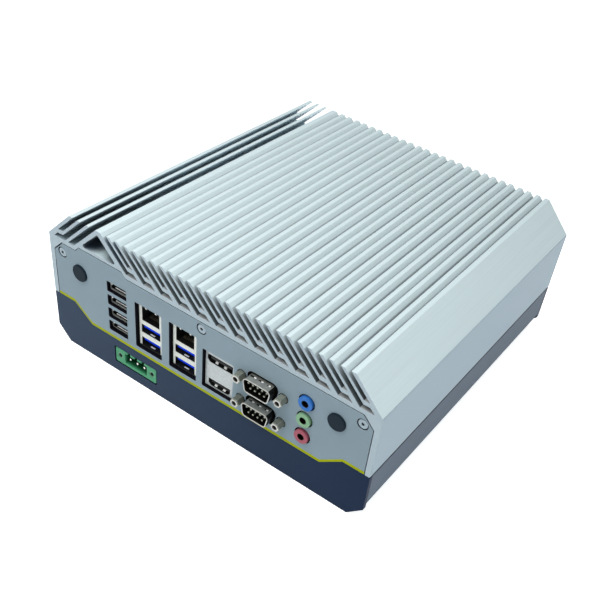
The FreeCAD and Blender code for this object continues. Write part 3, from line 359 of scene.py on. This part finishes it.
def turnedSteel(name, color, edge, recessShade, faceEnd=None, face=None):
    # turned and plated metal: painted highlights on the rims, painted shade in drives and threads, maybe a
    # painted highlight on the faces in front of faceEnd
    finish = Finish(name)
    finish.surface(color, metallic=0.35, roughness=0.45)
    cloud = finish.noise(500)
    tone = finish.ramp(cloud, shade(color, 0.85), shade(color, 1.06))
    tone = finish.blend(finish.edges(0.3 * mm, gain=3.0), tone, edge)
    if face:
        tone = finish.blend(finish.maths("LESS_THAN", finish.axes()[1], faceEnd), tone, face)
    finish.paint(finish.blend(finish.openness(2.5 * mm, low=0.35, high=0.6), recessShade, tone))
    finish.grain(cloud, roughness=(0.38, 0.52), height=0.02 * mm, strength=0.3)
    return finish.material


shellMetal = {
    "color": (0.36, 0.37, 0.34),
    "rim": (0.48, 0.48, 0.45),
    # painted shade inside the shell
    "inside": (0.008, 0.008, 0.007),
    "rimSkin": 0.2 * mm,
    "pitch": 15.8 * mm,                # from one mouth to the other
    "half": 3.95 * mm,                 # half a mouth's height
    "across": 7.95 * mm,               # and half its width at the middle
    "slant": 0.176,                    # of its two sides
}


def serialShellMetal():
    # drawn nickel-plated shell: warm grey, with a painted highlight on its rim and black painted shade inside
    look = shellMetal
    finish = Finish("serial_shell_nickel")
    finish.surface(look["color"], metallic=0.6, roughness=0.38)
    low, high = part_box("serial_shells")
    across, along, up = finish.axes()
    cloud = finish.noise(300)
    tone = finish.ramp(cloud, shade(look["color"], 0.8), shade(look["color"], 1.1))
    tone = finish.blend(finish.maths("LESS_THAN", along, low.y + look["rimSkin"]), tone, look["rim"])
    tone = finish.blend(finish.openness(5 * mm, low=0.3, high=0.62), look["inside"], tone)
    # painted shade inside both mouths at once: the height above the nearer one, and the distance from its
    # slanted sides
    raised = finish.maths("SUBTRACT", up, (low.z + high.z) / 2)
    rise = finish.maths("SUBTRACT", finish.maths("FLOORED_MODULO", raised, look["pitch"]), look["pitch"] / 2)
    offset = finish.maths("ABSOLUTE", finish.maths("SUBTRACT", across, (low.x + high.x) / 2))
    beside = finish.maths("SUBTRACT", offset, finish.maths("MULTIPLY", rise, look["slant"]))
    inside = finish.maths("MULTIPLY", finish.maths("LESS_THAN", finish.maths("ABSOLUTE", rise), look["half"]),
                          finish.maths("LESS_THAN", beside, look["across"]))
    inside = finish.maths("MULTIPLY", inside, finish.maths("GREATER_THAN", along, low.y + look["rimSkin"]))
    finish.paint(finish.blend(inside, tone, look["inside"]))
    finish.grain(cloud, roughness=(0.32, 0.46), height=0.02 * mm, strength=0.3, rounding=0.25 * mm)
    return finish.material


plateCoat = {
    "level": 23.4 * mm,                # middle of the yellow line along most of the plate
    "endLevel": 32.5 * mm,             # and at both ends
    "rampStart": 76.2 * mm,            # distance from the middle where it starts to climb
    "rampEnd": 88.6 * mm,
    "half": 0.85 * mm,
    "skin": 0.3 * mm,                  # painted shade: the cut walls behind the coated face are black
    "cutAcross": 98.6 * mm,            # the outline's own edges are left out of that
    "cutAbove": 3 * mm,
    "upper": (0.272, 0.356, 0.405),
    "edgeGlint": (0.48, 0.55, 0.6),
    "line": (0.38, 0.425, 0.0),
    "lowerLeft": (0.034, 0.058, 0.1),
    "lowerRight": (0.006, 0.02, 0.055),
    "cut": (0.008, 0.008, 0.012),
}


def twoTonePlate(name, node, withStripe):
    # coated plate: silver grey above and navy below, with a yellow line between them on the front one
    look = plateCoat
    finish = Finish(name)
    finish.surface(look["upper"], metallic=0.0, roughness=0.45, gloss=0.06)
    low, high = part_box(node)
    across, along, up = finish.axes()
    climb = finish.add("MapRange")
    climb.inputs["From Min"].default_value = look["rampStart"]
    climb.inputs["From Max"].default_value = look["rampEnd"]
    climb.inputs["To Min"].default_value = look["level"] if withStripe else look["endLevel"]
    climb.inputs["To Max"].default_value = look["endLevel"]
    finish.join(finish.maths("ABSOLUTE", across), climb.inputs["Value"])
    above = finish.maths("SUBTRACT", up, climb.outputs["Result"])
    inLine = finish.maths("LESS_THAN", finish.maths("ABSOLUTE", above), look["half"] if withStripe else 0.0)
    isLower = finish.maths("LESS_THAN", above, 0.0)
    cloud = finish.noise(30, detail=2)
    upper = finish.ramp(cloud, shade(look["upper"], 0.97), shade(look["upper"], 1.04))
    # painted shade: the navy darkens from left to right
    lower = finish.blend(finish.range(across, low.x, high.x), look["lowerLeft"], look["lowerRight"])
    whole = finish.blend(inLine, finish.blend(isLower, upper, lower), look["line"])
    # painted highlight along the edges of the silver grey
    edged = finish.blend(finish.edges(0.35 * mm, gain=1.6), whole, look["edgeGlint"])
    whole = finish.blend(isLower, edged, whole)
    # painted shade on the cut walls
    depth = (finish.maths("GREATER_THAN", along, low.y + look["skin"]) if withStripe
             else finish.maths("LESS_THAN", along, high.y - look["skin"]))
    inside = finish.maths("MULTIPLY",
                          finish.maths("LESS_THAN", finish.maths("ABSOLUTE", across), look["cutAcross"]),
                          finish.maths("GREATER_THAN", up, look["cutAbove"]))
    finish.paint(finish.blend(finish.maths("MULTIPLY", depth, inside), whole, look["cut"]))
    finish.grain(finish.noise(1500, detail=2), roughness=(0.42, 0.52), height=0.03 * mm, strength=0.25)
    return finish.material


lanCanWidth = 16.8 * mm
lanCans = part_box("lan_stack_shells")
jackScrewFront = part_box("serial_jack_screws")[0].y
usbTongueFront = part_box("usb_tongues")[0].y

finishes = {
    "extrusion": anodised(),
    "frontPlate": twoTonePlate("front_plate_coat", "front_plate", withStripe=True),
    "rearPlate": twoTonePlate("rear_plate_coat", "rear_plate", withStripe=False),
    "tray": powderCoat(),
    "steel": platedMetal("nickel_steel", (0.62, 0.66, 0.68), roughness=0.34),
    # painted highlight on the jack screws' front faces, with their bodies darker as painted shade
    "hexSteel": turnedSteel("jack_screw_nickel", (0.22, 0.24, 0.20), edge=(0.95, 0.95, 0.88),
                            recessShade=(0.02, 0.02, 0.018), faceEnd=jackScrewFront + 0.12 * mm,
                            face=(0.58, 0.58, 0.54)),
    # painted shade and painted reflection of the green header: the metal ear nuts coloured dark green
    "earNut": turnedSteel("ear_nut_steel", (0.10, 0.27, 0.16), edge=(0.35, 0.62, 0.45),
                          recessShade=(0.02, 0.09, 0.045)),
    # painted reflection: the nickel screw heads coloured the blue-grey around them
    "plateScrew": turnedSteel("plate_screw_steel", (0.30, 0.38, 0.43), edge=(0.9, 0.95, 0.96),
                              recessShade=(0.03, 0.04, 0.045)),
    "usbCan": socketCan("usb_can", "usb_stack_shell", (0.62, 0.64, 0.6)),
    "lanCan": socketCan("lan_can", "lan_stack_shells", (0.70, 0.72, 0.66), sill=0.85 * mm,
                        lefts=(lanCans[0].x, lanCans[1].x - lanCanWidth)),
    "displayCan": socketCan("display_can", "display_stack_shell", (0.50, 0.54, 0.54)),
    "serialShell": serialShellMetal(),
    "dullPin": platedMetal("pin_tin", (0.30, 0.32, 0.26), roughness=0.45),
    "silverPin": platedMetal("pin_silver", (0.86, 0.85, 0.8), roughness=0.25),
    "spring": turnedSteel("spring_tin", (0.82, 0.82, 0.78), edge=(0.95, 0.95, 0.92), recessShade=(0.5, 0.5, 0.47)),
    # painted highlight: the shell dimples in near-white tin
    "dimpleHighlight": turnedSteel("tin_painted_highlight", (0.98, 0.98, 0.96), edge=(1.0, 1.0, 1.0),
                              recessShade=(0.98, 0.98, 0.96)),
    # painted highlight on the spring leaves' front ends, the rest painted dark as shade
    "frontLitSpring": turnedSteel("spring_tin_painted_front_light", (0.10, 0.10, 0.09), edge=(0.12, 0.12, 0.11),
                             recessShade=(0.07, 0.07, 0.06), faceEnd=usbTongueFront - 1.85 * mm,
                             face=(1.0, 1.0, 1.0)),
    # painted shade: the threads near black deep in their holes
    "thread": turnedSteel("thread_steel", (0.012, 0.012, 0.01), edge=(0.12, 0.12, 0.11),
                          recessShade=(0.005, 0.005, 0.005)),
    # painted shade: the gold contacts coloured dark brown deep in their sockets
    "wire": platedMetal("contact_gold", (0.15, 0.13, 0.09), roughness=0.45),
    "brass": platedMetal("post_brass", (0.78, 0.6, 0.3), roughness=0.35),
    "milled": platedMetal("milled_aluminium", (0.8, 0.81, 0.82), roughness=0.38, fineness=0.5),
    "rubber": moulded("plug_rubber_black", (0.008, 0.018, 0.028), roughness=0.6, gloss=0.1),
    "blackPlastic": moulded("socket_black", (0.012, 0.012, 0.013), roughness=0.42),
    "bluePlastic": moulded("tongue_blue", (0.0, 0.045, 0.82), roughness=0.5, gloss=0.05),
    "pink": facedPlastic("ring_pink", "audio_ring_pink", (0.40, 0.10, 0.135), deepShade=(0.14, 0.035, 0.05),
                         rim=(0.46, 0.16, 0.19), bored=True),
    "lightGreen": facedPlastic("ring_green", "audio_ring_green", (0.25, 0.46, 0.27), deepShade=(0.09, 0.16, 0.09),
                               rim=(0.32, 0.55, 0.34), bored=True),
    "lightBlue": facedPlastic("ring_blue", "audio_ring_blue", (0.035, 0.18, 0.56), deepShade=(0.012, 0.06, 0.19),
                              rim=(0.09, 0.26, 0.66), bored=True),
    "green": facedPlastic("header_green", "supply_header", (0.07, 0.34, 0.17), deepShade=(0.012, 0.10, 0.04),
                          rim=(0.22, 0.61, 0.33)),
    "laminate": moulded("board_mask", (0.012, 0.09, 0.045), roughness=0.3),
    "pad": moulded("pad_grey", (0.35, 0.38, 0.42), roughness=0.7),
}

wears = {
    "extrusion": ["heatsink_shell"],
    "frontPlate": ["front_plate"],
    "rearPlate": ["rear_plate"],
    "tray": ["base_tray"],
    "plateScrew": ["front_screws", "rear_screws"],
    "earNut": ["supply_ear_nuts"],
    "dullPin": ["serial_pins"],
    "steel": ["plate_nuts", "mount_nuts", "board_screws",
              "supply_board_posts", "drive_rest", "processor", "clock_cell"],
    "hexSteel": ["serial_jack_screws"],
    "usbCan": ["usb_stack_shell"],
    "lanCan": ["lan_stack_shells"],
    "displayCan": ["display_stack_shell"],
    "serialShell": ["serial_shells"],
    "silverPin": ["supply_pins"],
    "brass": ["board_posts"],
    "milled": ["heat_block"],
    "rubber": ["antenna_plugs"],
    "blackPlastic": ["usb_tongues", "lan_contact_carriers", "display_tongues", "serial_insulators",
                     "audio_housing", "board_link", "memory_socket", "drive_socket", "cell_holder"],
    "bluePlastic": ["fast_usb_tongues"],
    "pink": ["audio_ring_pink"],
    "lightGreen": ["audio_ring_green"],
    "lightBlue": ["audio_ring_blue"],
    "green": ["supply_header"],
    "laminate": ["mainboard", "memory_module", "drive_module", "supply_board"],
    "pad": ["thermal_pads"],
}

for finishName, names in wears.items():
    for name in names:
        slots = parts[name].data.materials
        slots.clear()
        slots.append(finishes[finishName])
print("finishes on the frame's nodes")


def newPiece(name, form, finishName):
    # finish a mesh: doubles merged, faces outwards, riding on the body
    bmesh.ops.remove_doubles(form, verts=form.verts, dist=0.001 * mm)
    bmesh.ops.recalc_face_normals(form, faces=form.faces)
    mesh = bpy.data.meshes.new(name)
    form.to_mesh(mesh)
    form.free()
    piece = bpy.data.objects.new(name, mesh)
    bpy.context.scene.collection.objects.link(piece)
    mesh.materials.append(finishes[finishName])
    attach(piece, "root")


tongueHeight = 1.8 * mm                # of the serial-bus tongues, for both kinds


def bentStrip(form, start, steps, width, thickness, hanging=False):
    # a flat strip pulled through a few steps, from front to back or hanging down; gives back its corners
    section = bmesh.ops.create_grid(form, x_segments=1, y_segments=1, size=0.5)["verts"]
    bmesh.ops.scale(form, vec=(width, thickness, 1), verts=section)
    if not hanging:
        bmesh.ops.rotate(form, matrix=Matrix.Rotation(math.radians(90), 3, "X"), verts=section)
    bmesh.ops.translate(form, vec=start, verts=section)
    end = section[0].link_faces[0]
    corners = list(section)
    for number, step in enumerate(steps):
        grown = bmesh.ops.extrude_face_region(form, geom=[end])["geom"]
        if number:
            bmesh.ops.delete(form, geom=[end], context="FACES_ONLY")
        end = next(part for part in grown if isinstance(part, bmesh.types.BMFace))
        bmesh.ops.translate(form, vec=step, verts=list(end.verts))
        corners += end.verts
    return corners


def ease(form, by):
    # take off every sharp edge
    bmesh.ops.bevel(form, geom=form.edges[:], offset=by, segments=1, affect="EDGES", profile=0.5, material=-1)


def buildUsbSprings():
    # side tabs and contact leaves in the four stacked serial-bus sockets
    springs = {
        "advance": 2.2 * mm,           # their front ends stand this far before the tongues
        "leafWidth": 8.2 * mm,
        "leafShift": 1.7 * mm,
        "leafThickness": 0.35 * mm,
        "leafLength": 2.1 * mm,
        "leafSlope": 0.05 * mm,
        "leafDrop": 0.1 * mm,
        "tabWidth": 0.6 * mm,
        "tabPlace": -4.7 * mm,
        "tabRise": 0.5 * mm,
        "tabDrop": 1.5 * mm,
        "tabHook": 0.3 * mm,
        "tabDepth": 0.3 * mm,
        "easing": 0.08 * mm,
    }
    low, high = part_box("usb_tongues")
    pitch = (high.z - low.z - tongueHeight) / 3
    middle = (low.x + high.x) / 2
    front = low.y - springs["advance"]
    form = bmesh.new()
    for level in range(4):
        under = low.z + level * pitch
        bentStrip(form, (middle + springs["leafShift"], front, under - springs["leafDrop"]),
                  [(0, springs["leafLength"], springs["leafSlope"])],
                  springs["leafWidth"], springs["leafThickness"])
        bentStrip(form, (middle + springs["tabPlace"], front, under + tongueHeight + springs["tabRise"]),
                  [(0, 0, -springs["tabDrop"]), (0, springs["tabHook"], -springs["tabHook"])],
                  springs["tabWidth"], springs["tabDepth"], hanging=True)
    ease(form, springs["easing"])
    newPiece("usb_spring_leaves", form, "frontLitSpring")


def buildFastUsbSprings():
    # one leaf along the floor of each fast serial-bus socket
    leaf = {
        "width": 3.0 * mm,
        "thickness": 0.25 * mm,
        "advance": 0.6 * mm,
        "shift": 0.6 * mm,
        "drop": 2.1 * mm,
        "bends": [(0, 0.3 * mm, 0.1 * mm), (0, 0.5 * mm, -0.2 * mm)],
        "easing": 0.07 * mm,
    }
    low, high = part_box("fast_usb_tongues")
    half = (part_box("usb_tongues")[1].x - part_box("usb_tongues")[0].x) / 2
    form = bmesh.new()
    for middle in (low.x + half, high.x - half):
        for under in (low.z, high.z - tongueHeight):
            bentStrip(form, (middle + leaf["shift"], low.y - leaf["advance"], under - leaf["drop"]),
                      leaf["bends"], leaf["width"], leaf["thickness"])
    ease(form, leaf["easing"])
    newPiece("fast_usb_leaves", form, "spring")


def buildNetworkSprings():
    # two tabs over each network socket's mouth, and its eight contact wires
    tab = {
        "width": 0.9 * mm,
        "thickness": 0.3 * mm,
        "place": 3.3 * mm,             # to either side of the socket's middle
        "setback": 0.2 * mm,
        "rise": 0.3 * mm,
        "bends": [(0, 0, -1.3 * mm), (0, 0.5 * mm, -0.6 * mm)],
        "easing": 0.07 * mm,
    }
    wire = {
        "count": 8,
        "pitch": 1.02 * mm,
        "width": 0.42 * mm,
        "thickness": 0.3 * mm,
        "setback": 3 * mm,
        "rise": 0.9 * mm,
        "bends": [(0, 1.5 * mm, 0.9 * mm), (0, 4 * mm, 1.9 * mm), (0, 1.2 * mm, 0.2 * mm)],
    }
    mouthHalf = 6 * mm
    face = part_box("lan_stack_shells")[0].y
    low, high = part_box("lan_contact_carriers")
    tabs, wires = bmesh.new(), bmesh.new()
    for middle in (low.x + mouthHalf, high.x - mouthHalf):
        for side in (-1, 1):
            bentStrip(tabs, (middle + side * tab["place"], face + tab["setback"], high.z + tab["rise"]),
                      tab["bends"], tab["width"], tab["thickness"], hanging=True)
        for number in range(wire["count"]):
            place = middle + (number - (wire["count"] - 1) / 2) * wire["pitch"]
            bentStrip(wires, (place, face + wire["setback"], low.z + wire["rise"]),
                      wire["bends"], wire["width"], wire["thickness"])
    ease(tabs, tab["easing"])
    newPiece("network_shield_tabs", tabs, "spring")
    newPiece("network_contact_wires", wires, "wire")


def buildDisplaySprings():
    # a pair of holding springs on the floor of each display socket
    spring = {
        "width": 1.7 * mm,
        "thickness": 0.35 * mm,
        "place": 2.7 * mm,             # to either side of the middle
        "setback": 0.6 * mm,
        "upperDrop": 2.6 * mm,         # below the upper tongue's top
        "lowerDrop": 1.25 * mm,        # below the lower tongue's bottom
        "bends": [(0, 0.6 * mm, 0.7 * mm), (0, 1.0 * mm, 0.35 * mm), (0, 1.2 * mm, -0.6 * mm)],
        "easing": 0.08 * mm,
    }
    low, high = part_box("display_tongues")
    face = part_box("display_stack_shell")[0].y
    middle = (low.x + high.x) / 2
    form = bmesh.new()
    for floor in (high.z - spring["upperDrop"], low.z - spring["lowerDrop"]):
        for side in (-1, 1):
            bentStrip(form, (middle + side * spring["place"], face + spring["setback"], floor),
                      spring["bends"], spring["width"], spring["thickness"])
    ease(form, spring["easing"])
    newPiece("display_springs", form, "spring")


def threadCoil(form, place, thread):
    # one helical ridge down a threaded hole, from its mouth inwards along +Y
    ring = bmesh.ops.create_circle(form, cap_ends=True, segments=6, radius=thread["wire"])["verts"]
    bmesh.ops.translate(form, vec=(place.x + thread["radius"], place.y, place.z), verts=ring)
    stepsPerTurn = 16
    steps = stepsPerTurn * thread["turns"]
    advance = thread["pitch"] * thread["turns"] / steps
    bmesh.ops.spin(form, geom=list(ring[0].link_faces), cent=place, axis=(0, 1, 0), dvec=(0, advance, 0),
                   angle=2 * math.pi * thread["turns"], steps=steps, use_duplicate=False)


def buildThreads():
    # thread ridges in the jack screws and in the supply header's ear nuts
    jack = {
        "across": 2.75 * mm,           # from a screw's outer edge to its axis
        "half": 2.38 * mm,
        "setback": 0.7 * mm,
        "radius": 1.4 * mm,
        "pitch": 0.7 * mm,
        "turns": 5,
        "wire": 0.22 * mm,
    }
    ear = {
        "across": 1.85 * mm,
        "setback": 0.4 * mm,
        "radius": 1.25 * mm,
        "pitch": 0.5 * mm,
        "turns": 6,
        "wire": 0.18 * mm,
    }
    low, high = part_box("serial_jack_screws")
    form = bmesh.new()
    for across in (low.x + jack["across"], high.x - jack["across"]):
        for up in (low.z + jack["half"], high.z - jack["half"]):
            threadCoil(form, Vector((across, low.y + jack["setback"], up)), jack)
    newPiece("jack_screw_threads", form, "thread")
    low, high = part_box("supply_ear_nuts")
    form = bmesh.new()
    for across in (low.x + ear["across"], high.x - ear["across"]):
        threadCoil(form, Vector((across, low.y + ear["setback"], (low.z + high.z) / 2)), ear)
    newPiece("supply_ear_threads", form, "thread")


def buildShellDimples():
    # pressed grip dimples along the top of each serial shell, drawn as domes with a painted highlight
    dimple = {
        "size": (1.5 * mm, 1.0 * mm, 0.45 * mm),
        "pitch": 4.3 * mm,
        "shift": 0.9 * mm,
        "setback": 3.6 * mm,
        "rise": 4.2 * mm,              # above a shell's middle
        "rowHalf": 1.92 * mm,          # from a shell's middle to its outermost pin's edge
    }
    low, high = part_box("serial_shells")
    pinsLow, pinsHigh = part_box("serial_pins")
    middle = (low.x + high.x) / 2 + dimple["shift"]
    form = bmesh.new()
    for level in (pinsLow.z + dimple["rowHalf"], pinsHigh.z - dimple["rowHalf"]):
        for number in (-1, 0, 1):
            place = (middle + number * dimple["pitch"], low.y + dimple["setback"], level + dimple["rise"])
            dome = bmesh.ops.create_uvsphere(form, u_segments=14, v_segments=8, radius=0.5)["verts"]
            bmesh.ops.scale(form, vec=dimple["size"], verts=dome)
            bmesh.ops.translate(form, vec=place, verts=dome)
    for face in form.faces:
        face.smooth = True
    newPiece("serial_shell_dimples", form, "dimpleHighlight")


def buildAudioContacts():
    # sprung contact leaves round each audio socket's bore
    sleeve = {
        "leaves": 6,
        "radius": 1.595 * mm,
        "wall": 0.25 * mm,
        "width": 0.5 * mm,
        "setback": 3.4 * mm,
        "length": 6 * mm,
    }
    form = bmesh.new()
    for ring in ("audio_ring_pink", "audio_ring_green", "audio_ring_blue"):
        low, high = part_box(ring)
        place = Vector(((low.x + high.x) / 2, low.y + sleeve["setback"], (low.z + high.z) / 2))
        for number in range(sleeve["leaves"]):
            leaf = bentStrip(form, place + Vector((sleeve["radius"], 0, 0)), [(0, sleeve["length"], 0)],
                             sleeve["wall"], sleeve["width"])
            turn = Matrix.Rotation(2 * math.pi * number / sleeve["leaves"], 3, "Y")
            bmesh.ops.rotate(form, matrix=turn, cent=place, verts=leaf)
    newPiece("audio_contact_leaves", form, "wire")


buildUsbSprings()
buildFastUsbSprings()
buildNetworkSprings()
buildDisplaySprings()
buildThreads()
buildShellDimples()
buildAudioContacts()
print("springs, contacts and threads built")


def buildFloor():
    room = {"size": 6.0, "color": (0.92, 0.93, 0.94), "seenGlow": 0.8}
    mesh = bpy.data.meshes.new("floor")
    form = bmesh.new()
    bmesh.ops.create_grid(form, x_segments=1, y_segments=1, size=room["size"])
    form.to_mesh(mesh)
    form.free()
    floor = bpy.data.objects.new("floor", mesh)
    bpy.context.scene.collection.objects.link(floor)
    finish = Finish("floor_pale")
    finish.surface(room["color"], metallic=0.0, roughness=0.9, gloss=0.0)
    rays = finish.add("LightPath")
    seen = finish.maths("MAXIMUM", rays.outputs["Is Camera Ray"], rays.outputs["Is Glossy Ray"])
    finish.shader.inputs["Emission Color"].default_value = (1, 1, 1, 1)
    finish.join(finish.maths("MULTIPLY", seen, room["seenGlow"]), finish.shader.inputs["Emission Strength"])
    mesh.materials.append(finish.material)


def buildSky():
    sky = {"color": (0.93, 0.97, 1.0), "strength": 0.4}
    world = bpy.data.worlds.new("studio")
    bpy.context.scene.world = world
    world.use_nodes = True
    tree = world.node_tree
    glow = tree.nodes["Background"]
    glow.inputs["Color"].default_value = (*sky["color"], 1)
    glow.inputs["Strength"].default_value = sky["strength"]
    plain = tree.nodes.new("ShaderNodeBackground")
    plain.inputs["Color"].default_value = (1, 1, 1, 1)
    plain.inputs["Strength"].default_value = 1.0
    rays = tree.nodes.new("ShaderNodeLightPath")
    choice = tree.nodes.new("ShaderNodeMixShader")
    tree.links.new(rays.outputs["Is Camera Ray"], choice.inputs[0])
    tree.links.new(glow.outputs[0], choice.inputs[1])
    tree.links.new(plain.outputs[0], choice.inputs[2])
    tree.links.new(choice.outputs[0], tree.nodes["World Output"].inputs["Surface"])


lamps = {
    "overhead": {"place": (-0.035, -0.235, 0.59), "aim": (-0.04, -0.08, 0.08), "size": 0.4, "power": 2.6},
    "right": {"place": (1.1, 0.1, 0.45), "aim": (0, 0, 0.05), "size": 0.9, "power": 0.8},
    "front": {"place": (-0.2, -1.3, 0.5), "aim": (0, 0, 0.04), "size": 0.9, "power": 1.2},
}


def buildLamps():
    for name, lamp in lamps.items():
        light = bpy.data.lights.new(name, "AREA")
        light.shape = "SQUARE"
        light.size = lamp["size"]
        light.energy = lamp["power"]
        holder = bpy.data.objects.new(name, light)
        holder.location = lamp["place"]
        sight = Vector(lamp["aim"]) - Vector(lamp["place"])
        holder.rotation_euler = sight.to_track_quat("-Z", "Y").to_euler()
        bpy.context.scene.collection.objects.link(holder)


viewer = {
    "place": (0.20733, -0.34468, 0.31998),
    "azimuth": 29.13,
    "elevation": 40.92,
    "roll": 8.94,
    "lens": 49.18,
    "shift": (-0.0325, 0.0986),
}


def buildCamera():
    camera = bpy.data.cameras.new("viewer")
    camera.sensor_width = 36
    camera.lens = viewer["lens"]
    camera.shift_x, camera.shift_y = viewer["shift"]
    camera.clip_start = 0.01
    holder = bpy.data.objects.new("viewer", camera)
    turn = (Matrix.Rotation(math.radians(viewer["azimuth"]), 4, "Z")
            @ Matrix.Rotation(math.radians(90 - viewer["elevation"]), 4, "X")
            @ Matrix.Rotation(math.radians(viewer["roll"]), 4, "Z"))
    holder.matrix_world = Matrix.Translation(viewer["place"]) @ turn
    bpy.context.scene.collection.objects.link(holder)
    bpy.context.scene.camera = holder


buildFloor()
buildSky()
buildLamps()
buildCamera()
bpy.context.scene.view_settings.view_transform = "Standard"
print("floor, lamps and camera placed")
